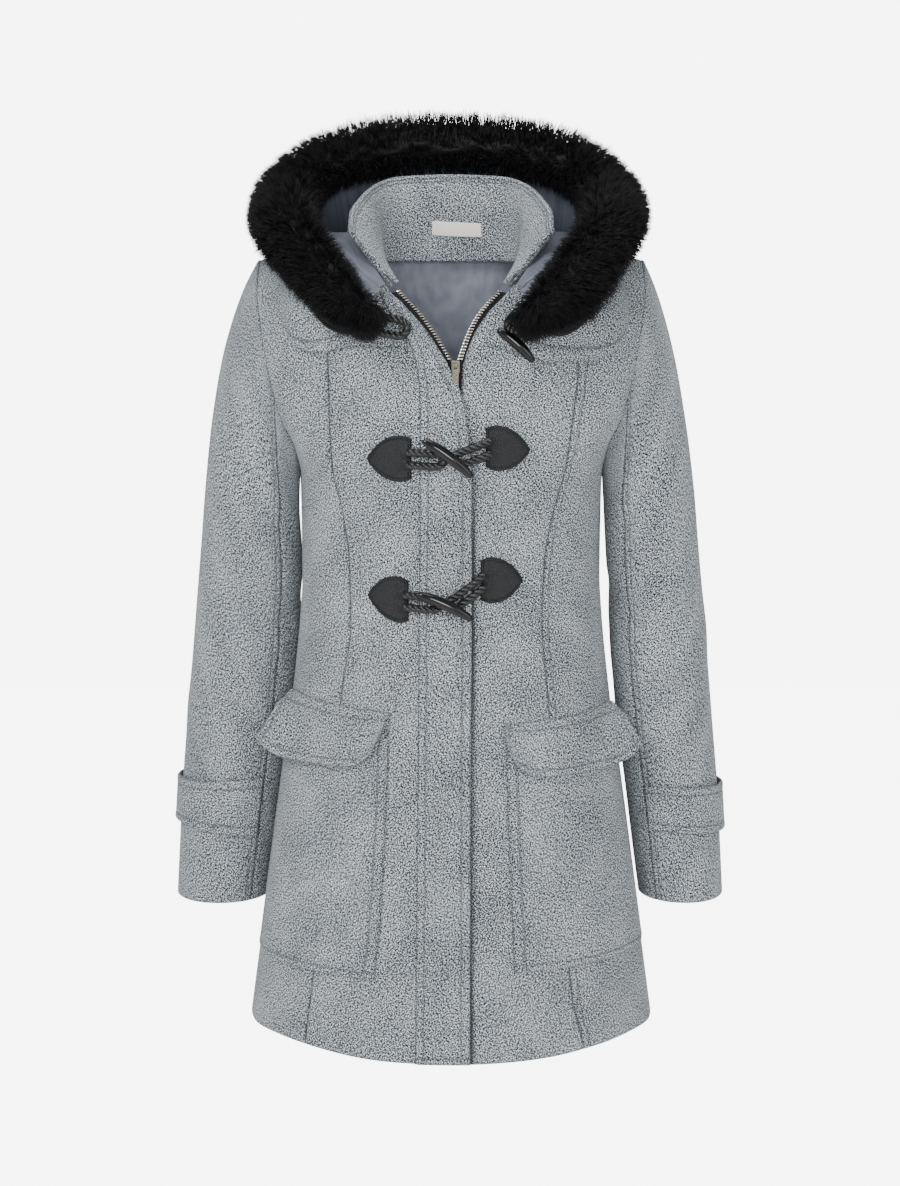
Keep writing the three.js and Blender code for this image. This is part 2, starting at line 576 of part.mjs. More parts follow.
// A closed wall between two layers of points, low(i, j) and high(i, j)
function addWall(name, finish, columns, rows, low, high, turned = () => false) {
  const positions = [];
  const index = [];
  const wide = columns + 1;
  const layer = wide * (rows + 1);
  [low, high].forEach((face) => {
    for (let j = 0; j <= rows; j += 1) {
      for (let i = 0; i <= columns; i += 1) {
        const at = face(i / columns, j / rows, i, j);
        positions.push(at.x, at.y, at.z);
      }
    }
  });
  const quad = (a, b, c, d) => index.push(a, b, c, a, c, d);
  for (let j = 0; j < rows; j += 1) {
    for (let i = 0; i < columns; i += 1) {
      const at = j * wide + i;
      if (turned(i)) {
        quad(at + 1, at + 1 + wide, at + wide, at);
        quad(layer + at + wide, layer + at + 1 + wide, layer + at + 1, layer + at);
      } else {
        quad(at, at + 1, at + 1 + wide, at + wide);
        quad(layer + at, layer + at + wide, layer + at + 1 + wide, layer + at + 1);
      }
    }
  }
  for (let i = 0; i < columns; i += 1) {
    const end = rows * wide + i;
    quad(i, layer + i, layer + i + 1, i + 1);
    quad(end, end + 1, layer + end + 1, layer + end);
  }
  for (let j = 0; j < rows; j += 1) {
    const near = j * wide;
    const far = near + columns;
    quad(near, near + wide, layer + near + wide, layer + near);
    quad(far, layer + far, layer + far + wide, far + wide);
  }
  addMesh(name, positions, index, finish);
}

// A closed skin of rings with a point at each end
function addRings(name, finish, rings, first, last) {
  const positions = [];
  const index = [];
  const round = rings[0].length;
  rings.forEach((ring) => ring.forEach((at) => positions.push(at.x, at.y, at.z)));
  positions.push(first.x, first.y, first.z, last.x, last.y, last.z);
  const pole = rings.length * round;
  for (let j = 0; j + 1 < rings.length; j += 1) {
    for (let i = 0; i < round; i += 1) {
      const a = j * round + i;
      const b = j * round + ((i + 1) % round);
      index.push(a, b, b + round, a, b + round, a + round);
    }
  }
  for (let i = 0; i < round; i += 1) {
    const next = (i + 1) % round;
    const end = (rings.length - 1) * round;
    index.push(next, i, pole, end + i, end + next, pole + 1);
  }
  addMesh(name, positions, index, finish);
}

// Body panels
function addBodyPanel(name, half, side, from, to, columns) {
  const spot = (i, j, lift) => {
    const drop = BODY_DROPS[j];
    return bodyPoint(half, side, mix(from(drop), to(drop), i), drop + (j ? 0 : SEAM / 2), lift);
  };
  addWall(name, 'wool', columns, BODY_DROPS.length - 1,
    (i, t, a, j) => spot(i, j, -WOOL), (i, t, a, j) => spot(i, j, 0));
}

function sideName(side) {
  return side < 0 ? 'left' : 'right';
}

[-1, 1].forEach((side) => {
  const named = sideName(side);
  const seam = (drop) => acrossAt(side, PRINCESS_LINE[named](drop), drop);
  const gap = (drop) => SEAM / 2 / rowLength('front', side, drop);
  const backGap = (drop) => SEAM / 2 / rowLength('back', side, drop);
  addBodyPanel(`front_${named}_centre`, 'front', side, () => 0, (d) => seam(d) - gap(d), 4);
  addBodyPanel(`front_${named}_side`, 'front', side, (d) => seam(d) + gap(d), (d) => 1 - gap(d), 5);
  addBodyPanel(`back_${named}`, 'back', side, () => 0, (d) => 1 - backGap(d), 7);
});

// Sleeves
const RING = 2 * (ARMHOLE_DROPS.length - 1);

function ringPlace(index) {
  const turn = (index + RING) % RING;
  const front = turn <= RING / 2;
  return { half: front ? 'front' : 'back', step: front ? turn : RING - turn, turn };
}

function sleeveFold(side, degrees, drop) {
  let sum = 0;
  SLEEVE_FOLDS.forEach((fold) => {
    if (fold.side === side) {
      const turn = ((degrees - fold.turn + 540) % 360) - 180;
      const along = (drop - fold.drop - fold.slope * turn) / fold.long;
      sum += fold.deep * bell(turn / fold.wide) * bell(along);
    }
  });
  return sum;
}

function sleeveRing(side, index, drop) {
  const angle = (2 * Math.PI * index) / RING;
  const named = sideName(side);
  const far = ARM[`${named}Out`](drop);
  const near = ARM[`${named}In`](drop);
  const middle = (far + near) / 2;
  const wide = (far - near) / 2;
  const level = drop === SLEEVE[0].drop ? 7 : 0;
  return point(
    side * (middle + wide * Math.cos(angle)),
    ARM[`${named}Y`](drop) - ARM.deep(drop) * Math.sin(angle),
    -drop + level * Math.cos(angle) - CUFF_LONGER[named] * ease((drop - 580) / 56),
  );
}

// Sleeve surface. step: 0 to 1 over the cap, then one for each ring.
function sleeveBase(side, index, step) {
  if (step >= 1) {
    const last = SLEEVE.length - 1;
    const at = Math.min(step - 1, last);
    const low = Math.floor(at);
    const part = at - low;
    const a = sleeveRing(side, index, SLEEVE[low].drop);
    if (part < 1e-6) {
      return a;
    }
    return a.lerp(sleeveRing(side, index, SLEEVE[low + 1].drop), part);
  }
  const place = ringPlace(Math.round(index));
  const start = bodyBase(place.half, side, 1, ARMHOLE_DROPS[place.step]);
  const end = sleeveRing(side, index, SLEEVE[0].drop);
  const angle = (2 * Math.PI * index) / RING;
  const swell = Math.sin(Math.PI * Math.pow(step, 0.8));
  const away = end.clone().sub(start).normalize();
  start.addScaledVector(away, SEAM + 0.15);
  const found = start.lerp(end, step);
  found.x += side * CAP_BULGE[sideName(side)] * swell * Math.pow(Math.max(0, Math.cos(angle / 1.0)), 1.5);
  found.z += 3 * swell * Math.max(0, Math.cos(angle));
  found.y -= 4 * swell * Math.sin(angle);
  return found;
}

function sleeveOut(side, index, step) {
  const a = sleeveBase(side, index - 1, step);
  const b = sleeveBase(side, index + 1, step);
  const c = sleeveBase(side, index, Math.max(0.02, step - 0.12));
  const d = sleeveBase(side, index, Math.min(SLEEVE.length, step + 0.12));
  const out = b.sub(a).cross(d.sub(c)).multiplyScalar(side).normalize();
  const place = ringPlace(Math.round(index));
  const seam = bodyBase(place.half, side, 1, ARMHOLE_DROPS[place.step]);
  return out.lerp(armholeOut(side, seam), 1 - ease(step / 0.3)).normalize();
}

function sleevePoint(side, index, step, lift) {
  const base = sleeveBase(side, index, step);
  const degrees = (360 * ((index + RING) % RING)) / RING;
  const fold = sleeveFold(side, degrees, -base.z) * ease(step - 0.5);
  return base.addScaledVector(sleeveOut(side, index, step), fold + lift);
}

const SLEEVE_STEPS = CAP_STEPS.concat(SLEEVE.map((row, i) => i + 1));

function addSleeve(name, side, from, to) {
  const columns = to - from;
  const spot = (a, j, lift) => {
    const index = from + a;
    const found = sleevePoint(side, index, SLEEVE_STEPS[j], lift);
    const inward = a === 0 ? 1 : -1;
    if (a === 0 || a === columns) {
      const next = sleevePoint(side, index + inward, SLEEVE_STEPS[j], lift);
      found.lerp(next, SEAM / 2 / found.distanceTo(next));
    }
    return found;
  };
  addWall(name, 'wool', columns, SLEEVE_STEPS.length - 1,
    (i, t, a, j) => spot(a, j, -WOOL), (i, t, a, j) => spot(a, j, 0));
}

[-1, 1].forEach((side) => {
  addSleeve(`sleeve_${sideName(side)}_top`, side, -BACK_SEAM, FRONT_SEAM);
  addSleeve(`sleeve_${sideName(side)}_under`, side, FRONT_SEAM, RING - BACK_SEAM);
});

function stepAt(drop) {
  let i = 0;
  while (i < SLEEVE.length - 2 && SLEEVE[i + 1].drop < drop) {
    i += 1;
  }
  return i + 1 + (drop - SLEEVE[i].drop) / (SLEEVE[i + 1].drop - SLEEVE[i].drop);
}

[-1, 1].forEach((side) => {
  const tab = TABS[sideName(side)];
  const columns = FRONT_SEAM + BACK_SEAM;
  const spot = (i, j, lift) => {
    const index = mix(FRONT_SEAM - 0.2, -BACK_SEAM + 0.2, i);
    const low = Math.floor(index);
    const outer = ease(i / 0.5);
    const top = mix(tab.seamTop, tab.outTop, outer);
    const end = mix(tab.seamEnd, tab.outEnd, outer);
    const proud = 2.2 * Math.sin(Math.PI * Math.min(1, Math.max(0, i)));
    const step = stepAt(mix(top, end, j));
    const a = sleevePoint(side, low, step, lift + proud);
    return a.lerp(sleevePoint(side, low + 1, step, lift + proud), index - low);
  };
  addWall(`sleeve_tab_${sideName(side)}`, 'wool', columns, 2,
    (i, j) => spot(i, j, LIFT), (i, j) => spot(i, j, LIFT + WOOL));
});

// Collar: the outer wall and the facing inside it
function along(line, at, columns) {
  const half = 1 - Math.abs(2 * at - 1);
  const side = at < 0.5 ? -1 : 1;
  return columns.map((column, i) => (i === 0 ? side : 1) * line[column](half));
}

function collarBase(at, up) {
  const foot = point(...along(NECK_LINE, at, ['x', 'y', 'z']));
  const top = point(...along(TOP_LINE, at, ['x', 'y', 'z']));
  foot.z += 1.2;
  const found = foot.lerp(top, up);
  const waist = Math.sin(Math.PI * Math.min(1, Math.max(0, up)));
  const hollow = -5 * waist * ease((1 - Math.abs(2 * at - 1)) / 0.3);
  const away = point(found.x, found.y - 10, 0).normalize();
  return found.addScaledVector(away, hollow);
}

function collarPoint(at, up, lift) {
  const d = 0.01;
  const a = collarBase(Math.max(0, at - d), up);
  const b = collarBase(Math.min(1, at + d), up);
  const c = collarBase(at, up - 0.02);
  const e = collarBase(at, up + 0.02);
  const out = b.sub(a).cross(e.sub(c)).normalize();
  const base = collarBase(at, up);
  if (out.dot(point(base.x, base.y - 20, -20)) < 0) {
    out.negate();
  }
  return base.addScaledVector(out, lift);
}

const COLLAR_COLUMNS = 20;
const FACING_ROWS = [-1, -0.4, 0, 1 / 3, 2 / 3, 1];
addWall('collar', 'wool', COLLAR_COLUMNS, 3,
  (i, j) => collarPoint(i, j, -WOOL), (i, j) => collarPoint(i, j, 0));

// The facing runs down past the neck seam by the middle of the back
function facingPoint(at, up, lift) {
  const half = 1 - Math.abs(2 * at - 1);
  const under = 24 * ease(half / 0.7);
  const inside = lift - WOOL - SEAM - 3.3 * ease(1 - up / 0.34);
  const base = collarPoint(at, Math.max(0, up), inside);
  if (up < 0) {
    const low = collarPoint(at, 0, inside);
    low.z += under * up;
    const away = point(low.x, low.y - 10, 0).normalize();
    return low.addScaledVector(away, -1.5 * -up);
  }
  return base;
}

addWall('collar_facing', 'wool', COLLAR_COLUMNS, FACING_ROWS.length - 1,
  (i, t, a, j) => facingPoint(i, FACING_ROWS[j], -WOOL),
  (i, t, a, j) => facingPoint(i, FACING_ROWS[j], 0));

// Blank label on the facing
const LABEL_AT = 0.512;
addWall('neck_label', 'label', 6, 1,
  (i, j) => labelPoint(i, j, -SEAM - 0.7), (i, j) => labelPoint(i, j, -SEAM));

function labelPoint(i, j, lift) {
  const half = 0.108;
  const at = LABEL_AT + half * (i - 0.5);
  const up = mix(0.03, 0.245, j) - 0.035 * (i - 0.5);
  const column = at * COLLAR_COLUMNS;
  const low = Math.floor(column);
  const found = facingPoint(low / COLLAR_COLUMNS, up, lift - WOOL - 0.4);
  return found.lerp(facingPoint((low + 1) / COLLAR_COLUMNS, up, lift - WOOL - 0.4), column - low);
}

// Hood bag and its lining, from the neck seam to the fur
function furFrame(at) {
  const half = 1 - Math.abs(2 * at - 1);
  const here = point(...along(FUR_LINE, at, ['x', 'y', 'z']));
  here.x += FUR_SHIFT;
  const before = point(...along(FUR_LINE, Math.max(0, at - 0.01), ['x', 'y', 'z']));
  const after = point(...along(FUR_LINE, Math.min(1, at + 0.01), ['x', 'y', 'z']));
  const ahead = after.sub(before).normalize();
  const out = point(here.x - FUR_SHIFT, here.y - 10, 0).normalize();
  out.addScaledVector(ahead, -out.dot(ahead)).normalize();
  const up = out.clone().cross(ahead).normalize();
  if (up.z < 0) {
    up.negate();
  }
  return { here, out, up, wide: FUR_LINE.wide(half), tall: FUR_LINE.tall(half) };
}

function furPoint(at, turn, grow) {
  const frame = furFrame(at);
  return frame.here
    .addScaledVector(frame.out, (frame.wide + grow) * Math.cos(turn))
    .addScaledVector(frame.up, (frame.tall + grow) * Math.sin(turn));
}

const HOOD_ENDS = 0.055;

function hoodBase(at, down) {
  const neck = point(...along(NECK_LINE, at, ['x', 'y', 'z']));
  const away = point(neck.x, neck.y - 10, 0).normalize();
  neck.addScaledVector(away, mix(12, 4.8, ease((1 - Math.abs(2 * at - 1)) / 0.85)));
  neck.z += 3.4;
  const furAt = mix(HOOD_ENDS, 1 - HOOD_ENDS, at);
  const knots = [
    neck,
    point(...along(HOOD_LINE, at, ['lowX', 'lowY', 'lowZ'])),
    point(...along(HOOD_LINE, at, ['footX', 'footY', 'footZ'])),
    point(...along(HOOD_LINE, at, ['bendX', 'bendY', 'bendZ'])),
    point(...along(HOOD_LINE, at, ['riseX', 'riseY', 'riseZ'])),
    furPoint(furAt, THREE.MathUtils.degToRad(FUR_LINE.join(1 - Math.abs(2 * furAt - 1))), 3.4),
  ];
  return new THREE.CatmullRomCurve3(knots).getPoint(Math.min(1, Math.max(0, down)));
}

function hoodPoint(at, down, lift) {
  const a = hoodBase(Math.max(0, at - 0.03), down);
  const b = hoodBase(Math.min(1, at + 0.03), down);
  const c = hoodBase(at, Math.max(0, down - 0.07));
  const d = hoodBase(at, Math.min(1, down + 0.07));
  const out = b.sub(a).cross(d.sub(c)).normalize();
  return hoodBase(at, down).addScaledVector(out, lift);
}

addWall('hood', 'wool', 28, 9,
  (i, j) => hoodPoint(i, j, 0), (i, j) => hoodPoint(i, j, -1.8), (i) => i >= 14);
const hoodGap = (at) => LINING_GAP + 0.9 * bell((Math.abs(2 * at - 1) - 0.66) / 0.16);
addWall('hood_lining', 'satin', 28, 9,
  (i, j) => hoodPoint(i, j, hoodGap(i) + SATIN), (i, j) => hoodPoint(i, j, hoodGap(i)),
  (i) => i >= 14);

// Fur round the hood's edge
const FUR_RINGS = 24;
const FUR_ROUND = 12;
const furRings = [];
for (let j = 0; j <= FUR_RINGS; j += 1) {
  const at = j / FUR_RINGS;
  const half = 1 - Math.abs(2 * at - 1);
  const end = Math.sqrt(Math.min(1, 0.2 + half / 0.2));
  const ring = [];
  for (let i = 0; i < FUR_ROUND; i += 1) {
    const turn = (2 * Math.PI * i) / FUR_ROUND;
    const frame = furFrame(at);
    ring.push(frame.here
      .addScaledVector(frame.out, frame.wide * end * Math.cos(turn))
      .addScaledVector(frame.up, frame.tall * end * Math.sin(turn)));
  }
  furRings.push(ring);
}
const furTip = (at, next) => {
  const here = furFrame(at).here;
  return here.clone().add(here.clone().sub(furFrame(next).here).normalize().multiplyScalar(7));
};
addRings('fur_trim', 'fur', furRings, furTip(0, 0.02), furTip(1, 0.98));

// Satin over the inside of the back, under the facing
addWall('back_lining', 'satin', 14, 6,
  (i, j) => liningPoint(i, j, -SATIN), (i, j) => liningPoint(i, j, 0));

function liningPoint(i, j, lift) {
  const across = 2 * i - 1;
  const side = across < 0 ? -1 : 1;
  const u = Math.abs(across) * 0.93;
  const top = mix(89, 16, ease(u / 0.42));
  const drop = mix(top, 212, j);
  return bodyPoint('back', side, u, drop, lift - WOOL - 2.8);
}

// Yokes
[-1, 1].forEach((side) => {
  const table = YOKES[sideName(side)];
  const line = tracks(table, 'at');
  const spot = (i, j, lift) => {
    const foot = frontPlace(side, line.x(i), line.z(i));
    const topAcross = mix(0.2, 0.74, i);
    const drop = mix(SHOULDER_DROP + 4, foot.drop, j);
    return bodyPoint('front', side, mix(topAcross, foot.u, Math.pow(j, 1.2)), drop, lift);
  };
  addWall(`yoke_${sideName(side)}`, 'wool', 8, 8,
    (i, j) => spot(i, j, YOKE_LIFT), (i, j) => spot(i, j, YOKE_LIFT + WOOL));
});

// Zip cover
addWall('placket', 'wool', 3, 18,
  (i, j) => placketPoint(i, j, LIFT), (i, j) => placketPoint(i, j, LIFT + WOOL));

function placketPoint(i, j, lift) {
  const z = mix(PLACKET[0].z, PLACKET[PLACKET.length - 1].z, Math.pow(j, 1.6));
  const rise = 1.6 * ease((0.2 - j) / 0.2);
  return frontPoint(mix(PLACKET_LINE.sewn(z), PLACKET_LINE.free(z), i), z, lift + rise);
}

// Pockets and flaps
[-1, 1].forEach((side) => {
  const named = sideName(side);
  const edge = tracks(POCKETS[named], 'drop');
  const top = POCKETS[named][0].drop;
  const end = POCKETS[named][POCKETS[named].length - 1].drop;
  const pocket = (i, j, lift) => {
    const drop = mix(top, end, j);
    const u = mix(acrossAt(side, edge.x(drop), drop), POCKET_END, i);
    return bodyPoint('front', side, u, drop, lift);
  };
  addWall(`pocket_${named}`, 'wool', 8, 5,
    (i, j) => pocket(i, j, LIFT), (i, j) => pocket(i, j, LIFT + WOOL));
  const line = tracks(FLAPS[named], 'at');
  const flap = (i, j, lift) => {
    const x = mix(line.topX(i), line.endX(i), j);
    const z = mix(line.topZ(i), line.endZ(i), j);
    const held = Math.min(x, mix(148, FLAP_HOLDS, ease(j / 0.5)));
    const stand = mix(0, FLAP_STANDS, ease(j / 0.34));
    const found = bodyPoint('front', side, acrossAt(side, held, -z), -z, lift + stand);
    found.x += side * (x - held);
    found.y += FLAP_SPREAD * (x - held);
    return found;
  };
  addWall(`flap_${named}`, 'wool', 9, 4,
    (i, j) => flap(i, j, LIFT), (i, j) => flap(i, j, LIFT + WOOL));
});

// Leatherette patches
const patchLine = tracks(PATCH_SHAPE, 'at');
PATCHES.forEach((patch) => {
  const spot = (i, j, lift) => {
    const x = patch.side * mix(patch.edgeX, patch.tipX, i);
    const z = mix(patch.edgeZ, patch.tipZ, i) + patch.half * patchLine.half(i) * (1 - 2 * j);
    return frontPoint(x, z, lift);
  };
  const base = patch.name.endsWith('top') ? YOKE_LIFT + WOOL + 0.8 : LIFT;
  addWall(patch.name, 'leather', 7, 3,
    (i, j) => spot(Math.pow(i, 0.9), j, base), (i, j) => spot(Math.pow(i, 0.9), j, base + LEATHER));
});

// Rope loops
function loopPath(loop) {
  const points = [];
  const bend = 5;
  const strand = (t, sign) => {
    const x = loop.side * mix(loop.startX, loop.turnX + loop.gap / 2, t);
    const z = mix(loop.startZ, loop.turnZ, t) + (sign * loop.gap) / 2;
    return frontPoint(x, z, mix(loop.startHigh, loop.turnHigh, ease(t / 0.4)));
  };
  for (let i = 0; i <= 4; i += 1) {
    points.push(strand(i / 4, 1));
  }
  for (let i = 1; i < bend; i += 1) {
    const angle = (Math.PI * i) / bend;
    const x = loop.side * (loop.turnX + (loop.gap / 2) * (1 - Math.sin(angle)));
    const z = loop.turnZ + (loop.gap / 2) * Math.cos(angle);
    points.push(frontPoint(x, z, loop.turnHigh));
  }
  for (let i = 4; i >= 0; i -= 1) {
    points.push(strand(i / 4, -1));
  }
  return points;
}

function tubeRings(points, radiusAt, sides) {
  const rings = [];
  let up = point(0, -1, 0);
  points.forEach((here, i) => {
    const before = points[Math.max(0, i - 1)];
    const after = points[Math.min(points.length - 1, i + 1)];
    const ahead = after.clone().sub(before).normalize();
    up = up.clone().addScaledVector(ahead, -up.dot(ahead)).normalize();
    const across = ahead.clone().cross(up);
    const ring = [];
    for (let k = 0; k < sides; k += 1) {
      const turn = (2 * Math.PI * k) / sides;
      ring.push(here.clone()
        .addScaledVector(up, radiusAt(i) * Math.cos(turn))
        .addScaledVector(across, radiusAt(i) * Math.sin(turn)));
    }
    rings.push(ring);
  });
  return rings;
}

LOOPS.forEach((loop) => {
  const points = loopPath(loop);
  const rings = tubeRings(points, () => CORD_RADIUS, CORD_SIDES);
  addRings(loop.name, 'cord', rings, points[0], points[points.length - 1]);
});

// Toggles, bent a little like horn
const toggleLine = tracks(TOGGLE_SHAPE, 'at');
TOGGLES.forEach((toggle) => {
  const points = TOGGLE_SHAPE.map((row) => {
    const arch = 2.2 * (1 - Math.pow(2 * row.at - 1, 2));
    const x = mix(toggle.fromX, toggle.toX, row.at) + 0.4 * arch;
    const z = mix(toggle.fromZ, toggle.toZ, row.at) + arch;
    const middle = frontPoint((toggle.fromX + toggle.toX) / 2, (toggle.fromZ + toggle.toZ) / 2, toggle.high);
    return point(x, middle.y - arch * 0.4, z);
  });
  const rings = tubeRings(points, (i) => TOGGLE_RADIUS * TOGGLE_SHAPE[i].radius, 10);
  addRings(toggle.name, 'horn', rings, points[0], points[points.length - 1]);
});

// Zip: a distance in from the edge of the wool, on the row of the given drop
function zipPoint(side, inside, drop, lift) {
  const edge = bodyPoint('front', side, 0, drop, lift);
  const next = bodyPoint('front', side, 0.04, drop, lift);
  const away = next.sub(edge).normalize();
  return edge.addScaledVector(away, inside);
}

const ZIP_TOP = 75;
const ZIP_SLIDER = 109;
const ZIP_END = 395;
const ZIP_DROPS = [75, 88, 101, 113, 140, 165, 190, 215, 245, 280, 320, 370, 395];
const WOOL_BACK = -WOOL - 0.7;

[-1, 1].forEach((side) => {
  const named = sideName(side);
  const tape = (i, j, lift) => zipPoint(side, mix(zipInner(ZIP_DROPS[j]), 13, i), ZIP_DROPS[j], lift);
  addWall(`zip_tape_${named}`, 'tape', 2, ZIP_DROPS.length - 1,
    (i, t, a, j) => tape(i, j, WOOL_BACK - TAPE), (i, t, a, j) => tape(i, j, WOOL_BACK));
  const teeth = (i, j, lift) => {
    const drop = mix(ZIP_TOP, ZIP_SLIDER - 1, j);
    return zipPoint(side, zipInner(drop) - 0.4 + TEETH_WIDTH * i, drop, lift);
  };
  addWall(`zip_teeth_${named}`, 'nickel', 1, 9,
    (i, j) => teeth(i, j, WOOL_BACK + 0.25), (i, j) => teeth(i, j, WOOL_BACK + 0.25 + TEETH_THICK));
});

function zipInner(drop) {
  return mix(-7.5, -4.6, ease((drop - ZIP_TOP) / (ZIP_SLIDER - ZIP_TOP)));
}

// The closed chain below the slider
const chainPoint = (i, j, lift) => {
  const drop = mix(SLIDER_BOTTOM + 1, ZIP_END - 2, j);
  const middle = zipPoint(1, 0, drop, lift);
  middle.x = BODY.front.mid(drop) + mix(-2.6, 2.6, i);
  return middle;
};
addWall('zip_chain', 'nickel', 1, 10,
  (i, j) => chainPoint(i, j, WOOL_BACK + 0.7), (i, j) => chainPoint(i, j, WOOL_BACK + 0.7 + TEETH_THICK));

// Slider with the lug that holds the pull
const sliderX = BODY.front.mid(113);
const block = (halfWidth, top, bottom, y) => {
  const cut = 0.8;
  return [
    [halfWidth - cut, top], [halfWidth, top - cut], [halfWidth, bottom + cut], [halfWidth - cut, bottom],
    [cut - halfWidth, bottom], [-halfWidth, bottom + cut], [-halfWidth, top - cut], [cut - halfWidth, top],
  ].map(([x, z]) => point(sliderX + x, y, z));
};
addRings('zip_slider', 'nickel', [
  block(3.8, -SLIDER_TOP, -SLIDER_BOTTOM, SLIDER_BACK),
  block(3.8, -SLIDER_TOP, -SLIDER_BOTTOM, SLIDER_FRONT),
  block(1.3, -SLIDER_TOP - 1.5, -SLIDER_TOP - 7, SLIDER_FRONT - 0.2),
  block(1.3, -SLIDER_TOP - 1.5, -SLIDER_TOP - 6, PIVOT_Y - 1.4),
], point(sliderX, SLIDER_BACK, -SLIDER_TOP - 6), point(sliderX, PIVOT_Y - 1.4, -SLIDER_TOP - 4));

// Pull tab, forked over the lug
const half = PULL_WIDTH / 2;
const fork = new THREE.Shape([
  [-half, 2], [-1.7, 2], [-1.7, -3.4], [1.7, -3.4], [1.7, 2], [half, 2], [half, 1 - PULL_LENGTH],
  [half - 1.2, -PULL_LENGTH], [1.2 - half, -PULL_LENGTH], [-half, 1 - PULL_LENGTH],
].map(([x, z]) => new THREE.Vector2(x, z)));
const pull = new THREE.ExtrudeGeometry(fork, { depth: PULL_THICK, bevelEnabled: false });
pull.rotateX(Math.PI / 2);
pull.translate(sliderX, PIVOT_Y + PULL_THICK / 2, PIVOT_Z);
const pullMesh = new THREE.Mesh(pull, new THREE.MeshStandardMaterial(COLOURS.nickel));
pullMesh.name = 'zip_pull';
coat.add(pullMesh);

export default coat;
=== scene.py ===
import math
import bpy
import numpy as np
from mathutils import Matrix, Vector


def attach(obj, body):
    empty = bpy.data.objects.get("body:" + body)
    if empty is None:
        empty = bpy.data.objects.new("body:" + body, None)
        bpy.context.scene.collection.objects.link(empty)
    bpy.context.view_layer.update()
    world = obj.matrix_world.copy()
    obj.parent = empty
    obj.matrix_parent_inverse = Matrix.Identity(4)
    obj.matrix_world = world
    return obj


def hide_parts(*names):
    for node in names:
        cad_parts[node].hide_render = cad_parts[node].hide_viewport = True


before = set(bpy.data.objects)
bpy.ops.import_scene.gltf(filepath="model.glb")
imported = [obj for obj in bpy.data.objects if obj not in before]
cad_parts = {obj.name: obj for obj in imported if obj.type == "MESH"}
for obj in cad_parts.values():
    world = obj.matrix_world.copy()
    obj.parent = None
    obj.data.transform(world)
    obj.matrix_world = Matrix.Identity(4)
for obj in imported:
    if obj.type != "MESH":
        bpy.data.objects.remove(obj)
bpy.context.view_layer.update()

# Women's duffle coat in grey wool. Lengths are millimetres, and meshes are made in metres.
# +Z is up, the front faces -Y, and left is the left of the photograph.
mm = 0.001
numbers = np.random.default_rng(12)

# Cloth and seam sizes, the same as the solids
cloth = dict(wool=2.2, satin=1.0, leather=1.6, tape=1.0, tuck=0.3, lift=0.9, yokeLift=1.9, liningGap=1.2)
body = dict(shoulder=12, armpit=215, hem=747, hemRise=5, square=0.89, armInside=70, armLevel=-120)

# Rows of the front and the back, shoulder to hem: depth, inner end, outer end, how round the row
# is, and how far the zip stands off the middle
frontRows = dict(columns="drop inX inY inZ outX outY round mid", rows=[
    (12, 74, 12, 5, 184, 14, 0, 0),
    (40, 68, -45, -16, 184, -22, 0.25, 0),
    (75, 54, -90, -41, 179, -45, 0.5, -2),
    (88, 32, -97, -64, 177, -51, 0.6, -1),
    (101, 16, -103, -88, 174, -55, 0.7, 1.5),
    (113, 6, -108, -113, 172, -57, 0.75, 4),
    (160, 5, -117, -160, 160, -52, 0.85, 3.6),
    (190, 5, -119, -190, 147.5, -35, 0.95, 3),
    (215, 5, -118, -215, 145, 0, 1, 3),
    (272, 5, -113, -272, 144, 0, 1, 3),
    (311, 5, -112, -311, 143.6, 0, 1, 3),
    (350, 5, -114, -350, 145.8, 0, 1, 3),
    (430, 5, -121, -430, 154.3, 0, 1, 3),
    (560, 5, -133, -560, 172, 0, 1, 3),
    (650, 5, -141, -653, 184.3, 0, 1, 3),
    (747, 5, -150, -757, 197.6, 0, 1, 3),
])
backRows = dict(columns="drop inX inY inZ outX outY round mid", rows=[
    (12, 74, 12, 5, 184, 14, 0, 0),
    (40, 50, 52, 8, 183, 42, 0.2, 0),
    (75, 0.2, 67, 8, 174, 60, 0.3, 0),
    (101, 0.2, 83, -36, 169, 66, 0.5, 0),
    (113, 0.2, 90, -62, 166, 67, 0.6, 0),
    (160, 0.2, 101, -138, 159, 60, 0.8, 0),
    (190, 0.2, 103, -182, 149, 40, 0.95, 0),
    (215, 0.2, 102, -215, 145, 0, 1, 0),
    (272, 0.2, 95, -272, 144, 0, 1, 0),
    (311, 0.2, 90, -311, 143.6, 0, 1, 0),
    (350, 0.2, 92, -350, 145.8, 0, 1, 0),
    (430, 0.2, 103, -430, 154.3, 0, 1, 0),
    (560, 0.2, 118, -560, 172, 0, 1, 0),
    (650, 0.2, 128, -653, 184.3, 0, 1, 0),
    (747, 0.2, 138, -757, 197.6, 0, 1, 0),
])
princessRows = dict(columns="drop left right", rows=[
    (12, 126, 126), (75, 118, 120), (113, 113, 117), (160, 112, 112), (205, 110, 106), (245, 101, 95),
    (290, 95, 87), (350, 94, 85), (408, 102, 90), (560, 117, 103), (690, 132, 113), (747, 139, 126),
])

